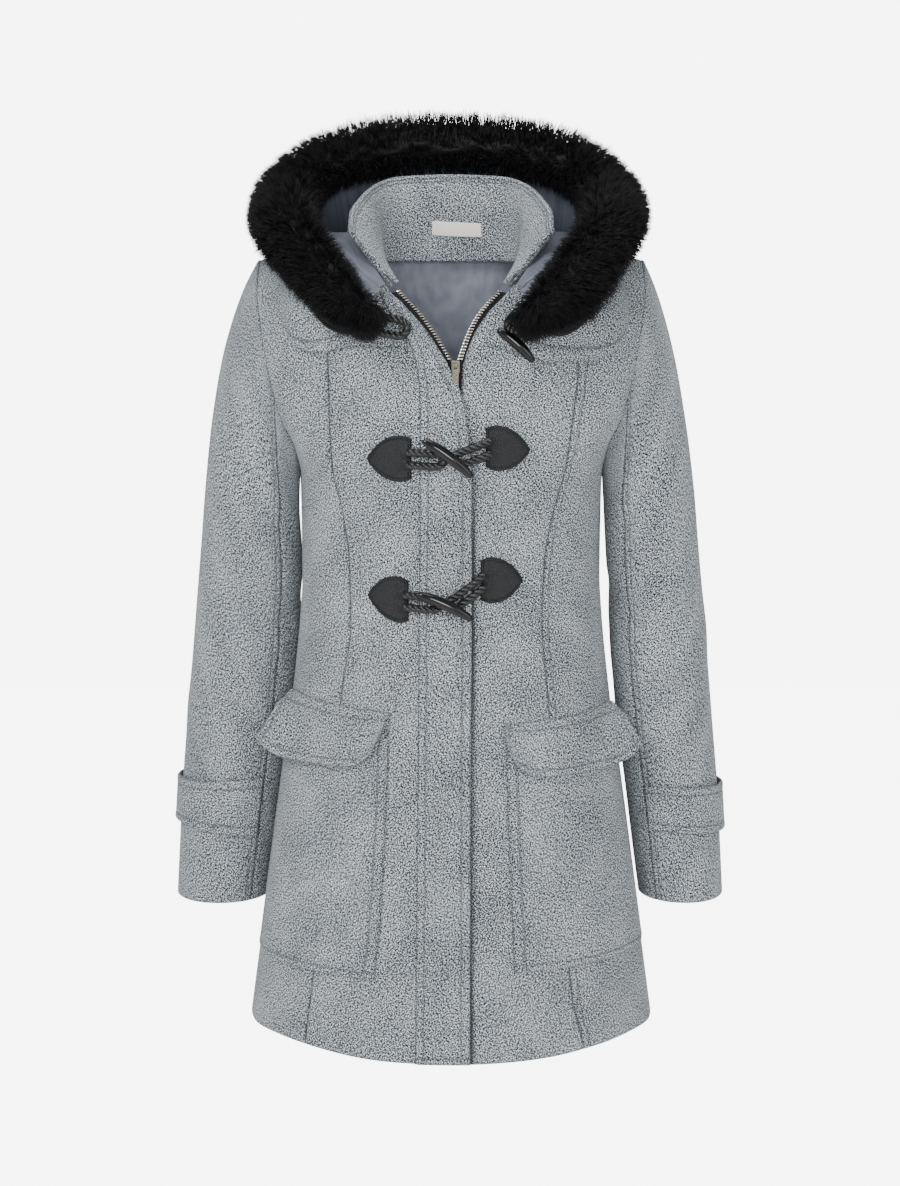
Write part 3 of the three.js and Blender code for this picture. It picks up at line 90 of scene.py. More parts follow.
# Soft hangs of the body: side, half, how far round, how deep down, reach across, reach down,
# how far out, and how it drifts round as it falls
bodyFolds = [
    (-1, "front", 0.86, 262, 0.07, 60, -2.2, -0.1),
    (-1, "front", 0.62, 330, 0.08, 90, 1.2, 0.06),
    (-1, "front", 0.74, 640, 0.09, 130, 2.4, 0.04),
    (-1, "front", 0.36, 650, 0.1, 120, -1.8, 0),
    (1, "front", 0.88, 275, 0.06, 55, -2, -0.08),
    (1, "front", 0.16, 600, 0.08, 160, -2.4, 0.04),
    (1, "front", 0.48, 690, 0.1, 110, 2, 0.05),
    (1, "front", 0.8, 660, 0.08, 120, 2.2, 0.03),
    (-1, "back", 0.7, 300, 0.12, 50, -3, 0.12),
    (-1, "back", 0.4, 620, 0.12, 150, 4, 0.03),
    (-1, "back", 0.8, 640, 0.1, 130, -3, 0.02),
    (1, "back", 0.64, 315, 0.12, 55, -3, 0.1),
    (1, "back", 0.3, 640, 0.12, 140, -3, 0.03),
    (1, "back", 0.66, 650, 0.12, 150, 4, 0.02),
]

# Sleeve rings: depth, far, near and back-set of the left and the right ring, and half depth
sleeveRows = dict(columns="drop leftOut leftIn leftY rightOut rightIn rightY deep", rows=[
    (236, 237, 146.4, 4, 234, 146.8, 2, 52),
    (290, 243.6, 145.2, 17, 239.8, 149.4, 3, 52),
    (345, 249.6, 145.8, 26, 245.4, 152.6, 4, 51),
    (400, 254.8, 149.6, 29, 250.4, 156, 5, 50),
    (460, 260.6, 156.8, 30, 256, 162.4, 7, 49),
    (520, 266, 165.2, 31, 261.6, 170.8, 8, 49),
    (580, 270, 173.6, 32, 265.6, 178.6, 9, 48),
    (636, 273.6, 181.6, 33, 268.8, 185.8, 10, 48),
])
armholeDrops = [12, 26, 40, 57, 75, 88, 101, 113, 140, 165, 190, 215]
capSteps = [0, 0.12, 0.35, 0.68]
capBulge = dict(left=12, right=8.5)
cuffLonger = dict(left=3, right=-3.5)
frontSeam = 8
backSeam = 6
ringCount = 2 * (len(armholeDrops) - 1)

# Creases of a sleeve: side, degrees round from the outer side over the front, how deep down,
# reach round, reach down, how far out, and slope
sleeveFolds = [
    (-1, 120, 262, 34, 16, -3.4, 0.5),
    (-1, 150, 352, 40, 15, -3.6, -0.35),
    (-1, 96, 404, 44, 17, -2.8, 0.4),
    (-1, 40, 455, 38, 22, 2, 0.3),
    (1, 118, 255, 36, 17, -3.2, 0.5),
    (1, 152, 338, 42, 15, -3.6, -0.4),
    (1, 88, 425, 46, 18, -2.6, 0.35),
    (1, 30, 372, 36, 24, 1.8, 0.25),
    (-1, 250, 380, 44, 18, -3.4, -0.3),
    (1, 244, 400, 44, 18, -3.4, -0.3),
]

neckRows = dict(columns="at x y z", rows=[
    (0, 54, -90, -40), (0.27, 68, -45, -15.6), (0.55, 74, 12, 5.4), (0.78, 50, 52, 8.4), (1, 0, 67, 8.4),
])
collarTopRows = dict(columns="at x y z", rows=[
    (0, 96.5, -55, 12), (0.16, 96.5, -32, 27), (0.36, 89, -4, 43), (0.58, 75, 32, 58), (0.76, 54, 56, 66),
    (1, 0, 69, 69),
])
hoodRows = dict(columns="at lowX lowY lowZ footX footY footZ bendX bendY bendZ riseX riseY riseZ", rows=[
    (0, 63.6, -103.4, -38.5, 63, -104, -40.5, 64.5, -106.5, -42.5, 66, -109, -44.5),
    (0.2, 83, -73.2, -20, 85, -75, -21, 85, -76, -22, 89, -79, -23),
    (0.4, 87, -19, 4, 96, -24, 2, 105, -28, 0, 114, -32, -2),
    (0.6, 87, 28, 13, 101, 34, 11, 114, 38, 11, 128, 38, 13),
    (0.7, 80, 58, 8, 93, 76, -12, 108, 88, -12, 124, 82, 6),
    (0.82, 63, 87, -22, 76, 100, -92, 92, 128, -90, 112, 130, -14),
    (1, 0, 101, -56, 0, 112, -150, 0, 142, -148, 0, 157, -52),
])
furRows = dict(columns="at x y z wide tall join", rows=[
    (0, 66, -128, -68, 20, 17, -210), (0.12, 92, -129, -53, 31, 23, -205), (0.28, 128, -88, -16, 34, 26, -178),
    (0.45, 156, -28, 20, 35, 26, -145), (0.58, 159, 20, 39, 35, 27, -122), (0.74, 136, 72, 71, 34, 27, -92),
    (0.88, 76, 104, 94, 30, 27, -64), (1, 0, 114, 101, 28, 27, -55),
])
furShift = -2.5
hoodEnds = 0.055


# Small maths, all of it on arrays
def mix(a, b, t):
    return a + (b - a) * t


def ease(t):
    held = np.clip(t, 0, 1)
    return held * held * (3 - 2 * held)


def bell(t):
    return np.exp(-np.square(t))


def vec(x, y, z):
    return np.stack(np.broadcast_arrays(x, y, z), -1).astype(float)


def unit(v):
    return v / np.maximum(np.linalg.norm(v, axis=-1, keepdims=True), 1e-9)


def smoothLine(xs, ys):
    # a line through the points that doesn't overshoot between them
    xs = np.array(xs, float)
    ys = np.array(ys, float)
    if xs[0] > xs[-1]:
        xs = xs[::-1]
        ys = ys[::-1]
    grade = np.diff(ys) / np.diff(xs)
    slope = np.concatenate([grade[:1], np.zeros(len(xs) - 2), grade[-1:]])
    for i in range(1, len(xs) - 1):
        if grade[i - 1] * grade[i] > 0:
            slope[i] = 2 * grade[i - 1] * grade[i] / (grade[i - 1] + grade[i])

    def line(x):
        i = np.clip(np.searchsorted(xs, x, side="right") - 1, 0, len(xs) - 2)
        span = xs[i + 1] - xs[i]
        t = np.clip((x - xs[i]) / span, 0, 1)
        start = (1 + 2 * t) * (1 - t) ** 2 * ys[i] + t * (1 - t) ** 2 * span * slope[i]
        return start + t * t * (3 - 2 * t) * ys[i + 1] + t * t * (t - 1) * span * slope[i + 1]

    return line


def lines(table, key=0, past=False):
    # one smooth line for each column; past runs on beyond the middle of the back as a mirror image
    columns = table["columns"].split()
    rows = [list(row) for row in table["rows"]]
    if past:
        before = rows[-2]
        rows.append([2 - before[0]] + [-v if c.lower().endswith("x") else v
                                       for c, v in zip(columns[1:], before[1:])])
    data = np.array(rows, float)
    return {c: smoothLine(data[:, key], data[:, i]) for i, c in enumerate(columns)}


bodyLines = dict(front=lines(frontRows), back=lines(backRows))
princess = lines(princessRows)
arm = lines(sleeveRows)
neckLine = lines(neckRows, past=True)
topLine = lines(collarTopRows, past=True)
hoodLine = lines(hoodRows, past=True)
furLine = lines(furRows, past=True)


def sideName(side):
    return "left" if side < 0 else "right"


# The body's surface. u runs from the front edge or the middle of the back out to the side.
def bodyBase(half, side, u, drop):
    row = bodyLines[half]
    roundness = row["round"](drop)
    turn = math.pi / 2 * np.clip(u, 0, 1)
    across = mix(u, np.sin(turn) ** body["square"], roundness)
    around = mix(u, 1 - np.maximum(0, np.cos(turn)) ** body["square"], roundness)
    x = mix(side * row["inX"](drop) + row["mid"](drop), side * row["outX"](drop), across)
    y = mix(row["inY"](drop), row["outY"](drop), around)
    return vec(x, y, mix(row["inZ"](drop), -drop, u) + hemRise(u, drop))


def hemRise(u, drop):
    rounded = np.sin(math.pi * np.maximum(0, (u - 0.15) / 0.85)) ** 2
    return body["hemRise"] * rounded * ease((drop - 640) / (body["hem"] - 640))


def bodyFold(half, side, u, drop):
    total = 0
    for foldSide, foldHalf, foldAcross, foldDrop, wide, long, deep, lean in bodyFolds:
        if foldHalf == half:
            down = (drop - foldDrop) / long
            across = (u - foldAcross - lean * down) / wide
            total = total + deep * bell(across) * bell(down) * (np.asarray(side) == foldSide)
    return total * ease(u / 0.12) * ease((1 - u) / 0.08)


def bodyOut(half, side, u, drop):
    a = bodyBase(half, side, np.maximum(0.001, u - 0.004), drop)
    b = bodyBase(half, side, np.minimum(0.999, u + 0.004), drop)
    c = bodyBase(half, side, u, np.maximum(body["shoulder"], drop - 0.5))
    d = bodyBase(half, side, u, np.minimum(body["hem"], drop + 0.5))
    here = bodyBase(half, side, u, drop)
    out = unit(np.cross(b - a, d - c))
    away = -1 if half == "front" else 1
    outward = vec(here[..., 0] * 0.6, away * 90, 60)
    out = np.where((out * outward).sum(-1, keepdims=True) < 0, -out, out)
    if half == "back":
        out[..., 0] = np.where(drop > 70, out[..., 0] * ease(u / 0.12), out[..., 0])
    shoulder = (1 - ease((drop - body["shoulder"]) / 26))[..., None]
    out = unit(mix(out, vec(side * 0.2, 0, 1), shoulder))
    held = ease((u - 0.82) / 0.18) * (1 - ease((drop - body["armpit"]) / 40))
    end = bodyBase(half, side, np.ones_like(u), np.minimum(drop, body["armpit"]))
    return unit(mix(out, armholeOut(side, end), held[..., None]))


def armholeOut(side, at):
    return unit(at - vec(side * body["armInside"], 2, body["armLevel"]))


def bodyPoint(half, side, u, drop, lift):
    u, drop, lift, side = (np.asarray(v, float) for v in np.broadcast_arrays(u, drop, lift, side))
    out = bodyOut(half, side, u, drop)
    fold = bodyFold(half, side, u, drop)
    if half == "back":
        # the two halves of the back meet square on in the middle
        out[..., 0] *= ease(u / 0.06)
        out = unit(out)
        fold = fold * ease(u / 0.06)
    return bodyBase(half, side, u, drop) + out * (fold + lift)[..., None]


def frontPlace(side, x, z):
    # where on the front a point of the front view is: x is measured outwards from the middle
    x, z, side = (np.asarray(v, float) for v in np.broadcast_arrays(x, z, side))
    u = np.full(x.shape, 0.3)
    drop = np.clip(-z, body["shoulder"], body["hem"])
    for step in range(40):
        here = bodyBase("front", side, u, drop)
        ahead = bodyBase("front", side, np.minimum(1, u + 0.002), drop)
        grade = np.maximum(8, side * (ahead[..., 0] - here[..., 0]) / np.maximum(1e-6, np.minimum(1, u + 0.002) - u))
        u = np.clip(u + np.clip((x - side * here[..., 0]) / grade, -0.2, 0.2), 0, 1)
        drop = np.clip(drop + 0.5 * (here[..., 2] - z), body["shoulder"], body["hem"])
    return u, drop


def acrossAt(side, x, drop):
    low = np.zeros(np.broadcast(x, drop).shape)
    high = np.ones_like(low)
    for step in range(26):
        middle = (low + high) / 2
        short = side * bodyBase("front", side, middle, drop)[..., 0] < x
        low = np.where(short, middle, low)
        high = np.where(short, high, middle)
    return (low + high) / 2


def frontPoint(x, z, lift):
    x, z = (np.asarray(v, float) for v in np.broadcast_arrays(x, z))
    middle = bodyLines["front"]["mid"](np.maximum(body["shoulder"], -z))
    side = np.where(x < middle, -1.0, 1.0)
    u, drop = frontPlace(side, np.maximum(0, side * x), z)
    found = bodyPoint("front", side, u, drop, lift)
    flat = u < 0.002
    found[..., 0] = np.where(flat, x, found[..., 0])
    found[..., 2] = np.where(flat, z, found[..., 2])
    return found


# Meshes
made = []


def makeMesh(name, points, faces, materials, uv=None, which=None, sharp=50, pressedAndShade=None):
    mesh = bpy.data.meshes.new(name)
    mesh.vertices.add(len(points))
    mesh.vertices.foreach_set("co", (np.asarray(points) * mm).ravel())
    faces = np.asarray(faces, np.int32)
    corners = points[faces[:, :3]]
    middle = points.mean(0)
    volume = ((corners[:, 0] - middle) * np.cross(corners[:, 1] - middle, corners[:, 2] - middle)).sum()
    if volume < 0:
        faces = faces[:, ::-1].copy()
    mesh.loops.add(faces.size)
    mesh.loops.foreach_set("vertex_index", faces.ravel())
    mesh.polygons.add(len(faces))
    mesh.polygons.foreach_set("loop_start", np.arange(0, faces.size, faces.shape[1], dtype=np.int32))
    mesh.polygons.foreach_set("use_smooth", np.ones(len(faces), bool))
    if which is not None:
        mesh.polygons.foreach_set("material_index", np.asarray(which, np.int32))
    if uv is not None:
        layer = mesh.uv_layers.new(name="cloth")
        layer.data.foreach_set("uv", (uv[faces.ravel()] * mm).ravel())
    # the attribute carries painted shade and pressed pile for the wool's darker marks
    if pressedAndShade is not None:
        mesh.attributes.new("pressedAndShade", "FLOAT", "POINT").data.foreach_set("value", pressedAndShade.astype(np.float32))
    mesh.update(calc_edges=True)
    mesh.validate()
    if sharp:
        mesh.set_sharp_from_angle(angle=math.radians(sharp))
    for material in materials:
        mesh.materials.append(material)
    piece = bpy.data.objects.new(name, mesh)
    bpy.context.collection.objects.link(piece)
    return piece


def settle(piece, nodes, bodyName="coat"):
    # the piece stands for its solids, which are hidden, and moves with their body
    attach(piece, bodyName)
    if nodes:
        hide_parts(*nodes)
    made.append(piece.name)
    return piece


def wallFaces(rows, cols):
    # quads of a wall between two layers, and which of them are its inner side
    grid = np.arange(rows * cols).reshape(rows, cols)
    quads = np.stack([grid[:-1, :-1], grid[:-1, 1:], grid[1:, 1:], grid[1:, :-1]], -1).reshape(-1, 4)
    far = rows * cols
    edges = []
    for line in (grid[0, :], grid[-1, ::-1], grid[::-1, 0], grid[:, -1]):
        edges.append(np.stack([line[1:], line[:-1], line[:-1] + far, line[1:] + far], -1))
    rim = np.concatenate(edges)
    faces = np.concatenate([quads, quads[:, ::-1] + far, rim])
    inner = np.concatenate([np.zeros(len(quads)), np.ones(len(quads)), np.zeros(len(rim))])
    return faces, inner


def arcLengths(grid):
    # distance run along each row and each column of a grid of points
    across = np.linalg.norm(np.diff(grid, axis=1), axis=-1)
    down = np.linalg.norm(np.diff(grid, axis=0), axis=-1)
    alongRow = np.concatenate([np.zeros((len(grid), 1)), np.cumsum(across, 1)], 1)
    alongColumn = np.concatenate([np.zeros((1, grid.shape[1])), np.cumsum(down, 0)], 0)
    return alongRow, alongColumn


def makeWall(name, outer, inner, materials, nodes, turn=0.0, pressedAndShade=None):
    # a closed cloth wall from its outer and inner grid of points, with its UV laid out at its flat size
    rows, cols = outer.shape[:2]
    faces, inside = wallFaces(rows, cols)
    points = np.concatenate([outer.reshape(-1, 3), inner.reshape(-1, 3)])
    alongRow, alongColumn = arcLengths((outer + inner) / 2)
    centred = alongRow - alongRow[:, -1:] / 2
    flatUv = np.stack([centred, -alongColumn], -1).reshape(-1, 2)
    spin = np.array([[math.cos(turn), math.sin(turn)], [-math.sin(turn), math.cos(turn)]])
    flatUv = flatUv @ spin + numbers.random(2) * 400
    uv = np.concatenate([flatUv, flatUv])
    if pressedAndShade is None:
        pressedAndShade = np.zeros((rows, cols))
    pressedAndShade = np.concatenate([pressedAndShade.ravel(), np.zeros(rows * cols)])
    piece = makeMesh(name, points, faces, materials, uv, inside if len(materials) > 1 else None, pressedAndShade=pressedAndShade)
    settle(piece, nodes)
    return piece


# Lines of a grid in real distances from the edges: close together where an edge rolls over and
# where it is stitched, and even between
def edgeSteps(stitch):
    near = [0, 0.4, 1.0, 1.9, 3.2]
    for distance in stitch:
        near += [distance - 1.3, distance - 0.6, distance, distance + 0.6, distance + 1.3]
    return sorted(near)


def spread(total, first, last, step):
    # places along a width of total (one for each row), as shares of it, with the distances kept
    total = np.atleast_1d(np.asarray(total, float))
    first = np.array(first, float)
    last = np.array(last, float)
    keep = np.minimum(1, 0.9 * total / (first[-1] + last[-1] + step))[:, None]
    count = max(1, int(round((total.max() - first[-1] - last[-1]) / step)))
    start = first[None] * keep
    end = total[:, None] - last[None, ::-1] * keep
    fill = np.linspace(0, 1, count + 1)[None, 1:-1]
    between = mix(start[:, -1:], end[:, :1], fill)
    return np.concatenate([start, between, end], 1) / total[:, None]


def roll(distance, stitch, thick, soft):
    # height of cloth near an edge: it turns over, stands up before the stitching, and dips in it
    height = -0.75 * thick * np.square(1 - np.clip(distance / (0.9 * thick), 0, 1))
    if len(stitch):
        puff = np.sin(math.pi * np.clip(distance / stitch[0], 0, 1))
        height = height + soft * 0.45 * puff
    for line in stitch:
        height = height - soft * 0.62 * bell((distance - line) / 0.62)
    return height


def seamDip(distance):
    return -1.25 * bell(distance / 1.5)


print("sizes ready")

# Fine grid of one cut piece, with its edges' profiles
def clothGrid(place, width, height, kinds, stitches, step, thick, soft=1.0):
    # kinds and stitches are in the order left, right, top, bottom. place(i, j, lift) gives points.
    i = spread(width, edgeSteps(stitches[0]), edgeSteps(stitches[1]), step)
    rows = spread(height, edgeSteps(stitches[2]), edgeSteps(stitches[3]), step)[0]
    if len(i) != len(rows):
        wide = np.interp(rows, np.linspace(0, 1, len(np.atleast_1d(width))), np.atleast_1d(width))
        i = spread(wide, edgeSteps(stitches[0]), edgeSteps(stitches[1]), step)
    else:
        wide = np.atleast_1d(width)
    j = np.repeat(rows[:, None], i.shape[1], 1)
    wide = wide[:, None]
    high = float(np.max(height))
    distances = (i * wide, (1 - i) * wide, j * high, (1 - j) * high)
    lift = np.zeros_like(i)
    # the face is darkened in a seam, under stitches and along an edge: partly the pile pressed flat, partly painted
    # shade in the grooves and painted shadows of the sunk stitches
    pressedAndShade = np.zeros_like(i)
    for distance, kind, stitch in zip(distances, kinds, stitches):
        if kind == "seam":
            lift += seamDip(distance)
            pressedAndShade = np.maximum(pressedAndShade, 0.8 * bell(distance / 1.2))
        elif kind == "edge":
            lift += roll(distance, stitch, thick, soft)
            pressedAndShade = np.maximum(pressedAndShade, 0.5 * bell(distance / 1.3))
        for line in stitch:
            if kind == "seam":
                lift -= soft * 0.6 * bell((distance - line) / 0.62)
            pressedAndShade = np.maximum(pressedAndShade, 0.6 * bell((distance - line) / 0.8))
    return i, j, lift, distances, pressedAndShade


# Materials
def colour(text):
    # sRGB hex to the linear values that Blender mixes in
    parts = [int(text[i:i + 2], 16) / 255 for i in (0, 2, 4)]
    return [c / 12.92 if c <= 0.04045 else ((c + 0.055) / 1.055) ** 2.4 for c in parts] + [1.0]


def addNode(tree, kind, values=None, links=None, **settings):
    # a node with its settings, its own socket values, and what feeds its sockets
    found = tree.nodes.new(kind)
    for key, value in settings.items():
        setattr(found, key, value)
    for key, value in (values or {}).items():
        found.inputs[key].default_value = value
    for key, source in (links or {}).items():
        tree.links.new(source, found.inputs[key])
    return found


def newMaterial(name, shader):
    material = bpy.data.materials.new(name)
    material.use_nodes = True
    tree = material.node_tree
    surface = tree.nodes["Principled BSDF"]
    for key, value in shader.items():
        surface.inputs[key].default_value = value
    return material, tree, surface


def setStops(ramp, stops):
    while len(ramp.color_ramp.elements) < len(stops):
        ramp.color_ramp.elements.new(0.5)
    for element, (place, value) in zip(ramp.color_ramp.elements, stops):
        element.position = place
        element.color = value
    return ramp.outputs["Color"]


# Wool melton, heathered: dark and pale fibres are mixed before spinning, so the eye sees grey
# flecks of 2 mm on a matt, slightly fuzzy face with a faint twill under it
# the last colour is mixed in at seams, stitches, edges and beside the placket: partly pressed pile, partly painted
# shade
woolLook = dict(dark="111518", low="363c41", middle="585f65", high="828a90", pale="e8edf0", fleck=0.88,
                fine=1.5, twill=2.2, cloud=46, rough=0.92, sheen=0.18, pressedAndShade="292e33")


def makeWool(name, look):
    material, tree, surface = newMaterial(name, {
        "Roughness": look["rough"], "IOR": 1.46, "Specular IOR Level": 0.25,
        "Sheen Weight": look["sheen"], "Sheen Roughness": 0.6,
    })
    surface.inputs["Sheen Tint"].default_value = colour("d9dee1")
    place = addNode(tree, "ShaderNodeUVMap", uv_map="cloth")
    # millimetres, turned to the twill's slope and drawn out along it
    slope = addNode(tree, "ShaderNodeMapping", {"Scale": (1000, 1000, 1000), "Rotation": (0, 0, 0.62)},
                    {"Vector": place.outputs["UV"]})
    fleckPlace = addNode(tree, "ShaderNodeMapping", {"Scale": (1 / look["fleck"], 0.62 / look["fleck"], 1)},
                         {"Vector": slope.outputs["Vector"]})
    fleck = addNode(tree, "ShaderNodeTexNoise", {"Scale": 1.0, "Detail": 1.0, "Roughness": 0.5},
                    {"Vector": fleckPlace.outputs["Vector"]}, noise_dimensions="2D")
    fine = addNode(tree, "ShaderNodeTexNoise", {"Scale": 1 / look["fine"], "Detail": 1.0, "Roughness": 0.5},
                   {"Vector": slope.outputs["Vector"]}, noise_dimensions="2D")
    cloud = addNode(tree, "ShaderNodeTexNoise", {"Scale": 1 / look["cloud"], "Detail": 2.0},
                    {"Vector": slope.outputs["Vector"]}, noise_dimensions="2D")
    twill = addNode(tree, "ShaderNodeTexWave", {"Scale": 0.314 / look["twill"] * 10 / math.pi, "Distortion": 2.5,
                                                "Detail": 1.0, "Detail Scale": 0.5},
                    {"Vector": slope.outputs["Vector"]}, wave_type="BANDS", bands_direction="X")
    mixed = addNode(tree, "ShaderNodeMath", {1: 0.72}, {0: fleck.outputs["Fac"]}, operation="MULTIPLY")
    salted = addNode(tree, "ShaderNodeMath", {1: 0.3}, {0: fine.outputs["Fac"], 2: mixed.outputs[0]},
                     operation="MULTIPLY_ADD")
    ribbed = addNode(tree, "ShaderNodeMath", {1: 0.05}, {0: twill.outputs["Fac"], 2: salted.outputs[0]},
                     operation="MULTIPLY_ADD")
    clouded = addNode(tree, "ShaderNodeMath", {1: 0.07}, {0: cloud.outputs["Fac"], 2: ribbed.outputs[0]},
                      operation="MULTIPLY_ADD")
    ramp = addNode(tree, "ShaderNodeValToRGB", None, {"Fac": clouded.outputs[0]})
    shade = setStops(ramp, [(0.465, colour(look["dark"])), (0.525, colour(look["low"])),
                            (0.57, colour(look["middle"])), (0.615, colour(look["high"])),
                            (0.69, colour(look["pale"]))])
    # painted shade, partly pressed pile: the face is mixed towards the darker colour where the attribute marks seams,
    # stitches, edges and the placket's gap
    flat = addNode(tree, "ShaderNodeAttribute", attribute_name="pressedAndShade")
    pressedPileAndShade = addNode(tree, "ShaderNodeMix", {7: colour(look["pressedAndShade"])}, {0: flat.outputs["Fac"], 6: shade},
                   data_type="RGBA")
    tree.links.new(pressedPileAndShade.outputs[2], surface.inputs["Base Color"])
    nap = addNode(tree, "ShaderNodeBump", {"Strength": 0.4, "Distance": 0.00025},
                  {"Height": clouded.outputs[0]})
    tree.links.new(nap.outputs["Normal"], surface.inputs["Normal"])
    return material


# Acetate satin lining: smooth filaments, so a soft bright streak runs over each pleat
satinLook = dict(face="9b9fab", shade="878b99", rough=0.36, thread=0.5, cloud=18)


def makeSatin(name, look):
    material, tree, surface = newMaterial(name, {
        "Roughness": look["rough"], "IOR": 1.48, "Specular IOR Level": 0.45,
        "Anisotropic": 0.5, "Sheen Weight": 0.12, "Sheen Roughness": 0.4,
    })
    place = addNode(tree, "ShaderNodeUVMap", uv_map="cloth")
    scaled = addNode(tree, "ShaderNodeMapping", {"Scale": (1000, 1000, 1000)}, {"Vector": place.outputs["UV"]})
    cloud = addNode(tree, "ShaderNodeTexNoise", {"Scale": 1 / look["cloud"], "Detail": 2.0},
                    {"Vector": scaled.outputs["Vector"]}, noise_dimensions="2D")
    # the weave is 0.2 mm and is drawn at 0.5 mm so that it shows
    weave = addNode(tree, "ShaderNodeTexWave", {"Scale": 1 / look["thread"], "Distortion": 0.6},
                    {"Vector": scaled.outputs["Vector"]}, wave_type="BANDS", bands_direction="DIAGONAL")
    ramp = addNode(tree, "ShaderNodeValToRGB", None, {"Fac": cloud.outputs["Fac"]})
    shade = setStops(ramp, [(0.3, colour(look["shade"])), (0.7, colour(look["face"]))])
    tree.links.new(shade, surface.inputs["Base Color"])
    bump = addNode(tree, "ShaderNodeBump", {"Strength": 0.12, "Distance": 0.0001},
                   {"Height": weave.outputs["Fac"]})
    tree.links.new(bump.outputs["Normal"], surface.inputs["Normal"])
    return material


# Modacrylic faux fur, long pile: near black, with a cool gloss along each lock
furLook = dict(root="030304", tip="121215", rough=0.48)


def makeFur(name, look):
    material, tree, surface = newMaterial(name, {
        "Roughness": look["rough"], "IOR": 1.5, "Specular IOR Level": 0.2,
        "Sheen Weight": 0.02, "Sheen Roughness": 0.4,
    })
    place = addNode(tree, "ShaderNodeTexCoord")
    scaled = addNode(tree, "ShaderNodeMapping", {"Scale": (1000, 1000, 1000)}, {"Vector": place.outputs["Object"]})
    lock = addNode(tree, "ShaderNodeTexNoise", {"Scale": 1 / 9, "Detail": 3.0, "Roughness": 0.6},
                   {"Vector": scaled.outputs["Vector"]})
    ramp = addNode(tree, "ShaderNodeValToRGB", None, {"Fac": lock.outputs["Fac"]})
    shade = setStops(ramp, [(0.36, colour(look["root"])), (0.68, colour(look["tip"]))])
    tree.links.new(shade, surface.inputs["Base Color"])
    return material


# Polyurethane leatherette, embossed with a pebble grain: broken, soft highlights
leatherLook = dict(face="1b1d21", hollow="030304", rough=0.42, grain=2.5)


def makeLeatherette(name, look):
    material, tree, surface = newMaterial(name, {
        "Roughness": look["rough"], "IOR": 1.5, "Specular IOR Level": 0.35, "Coat Weight": 0.04,
        "Coat Roughness": 0.3,
    })
    place = addNode(tree, "ShaderNodeUVMap", uv_map="cloth")
    scaled = addNode(tree, "ShaderNodeMapping", {"Scale": (1000, 1000, 1000)}, {"Vector": place.outputs["UV"]})
    pebble = addNode(tree, "ShaderNodeTexVoronoi", {"Scale": 1 / look["grain"], "Randomness": 1.0},
                     {"Vector": scaled.outputs["Vector"]}, feature="DISTANCE_TO_EDGE", voronoi_dimensions="2D")
    wrinkle = addNode(tree, "ShaderNodeTexNoise", {"Scale": 1 / 0.7, "Detail": 3.0},
                      {"Vector": scaled.outputs["Vector"]}, noise_dimensions="2D")
    ramp = addNode(tree, "ShaderNodeValToRGB", None, {"Fac": pebble.outputs["Distance"]})
    shade = setStops(ramp, [(0.0, colour(look["hollow"])), (0.3, colour(look["face"]))])
    tree.links.new(shade, surface.inputs["Base Color"])
    height = addNode(tree, "ShaderNodeMath", {1: 0.35}, {0: wrinkle.outputs["Fac"], 2: pebble.outputs["Distance"]},
                     operation="MULTIPLY_ADD")
    bump = addNode(tree, "ShaderNodeBump", {"Strength": 1.0, "Distance": 0.0009}, {"Height": height.outputs[0]})
    tree.links.new(bump.outputs["Normal"], surface.inputs["Normal"])
    return material


# Braided-polyester rope yarn: black, with a fibre glint along the lay
ropeLook = dict(dark="040405", light="1c1d20", rough=0.3)


def makeRope(name, look):
    material, tree, surface = newMaterial(name, {
        "Roughness": look["rough"], "IOR": 1.5, "Specular IOR Level": 0.6, "Sheen Weight": 0.03,
        "Sheen Roughness": 0.45,
    })
    place = addNode(tree, "ShaderNodeUVMap", uv_map="cloth")
    scaled = addNode(tree, "ShaderNodeMapping", {"Scale": (1000, 1000, 1000), "Rotation": (0, 0, 0.5)},
                     {"Vector": place.outputs["UV"]})
    fibre = addNode(tree, "ShaderNodeTexNoise", {"Scale": 1.0, "Detail": 2.0},
                    {"Vector": addNode(tree, "ShaderNodeMapping", {"Scale": (3.2, 0.35, 1)},
                                       {"Vector": scaled.outputs["Vector"]}).outputs["Vector"]},
                    noise_dimensions="2D")
    ramp = addNode(tree, "ShaderNodeValToRGB", None, {"Fac": fibre.outputs["Fac"]})
    shade = setStops(ramp, [(0.35, colour(look["dark"])), (0.72, colour(look["light"]))])
    tree.links.new(shade, surface.inputs["Base Color"])
    bump = addNode(tree, "ShaderNodeBump", {"Strength": 0.4, "Distance": 0.0002}, {"Height": fibre.outputs["Fac"]})
    tree.links.new(bump.outputs["Normal"], surface.inputs["Normal"])
    return material


# Cast polyester resin made like horn: deep black with faint brown-grey streaks, polished
hornLook = dict(dark="040405", streak="111214", rough=0.14)


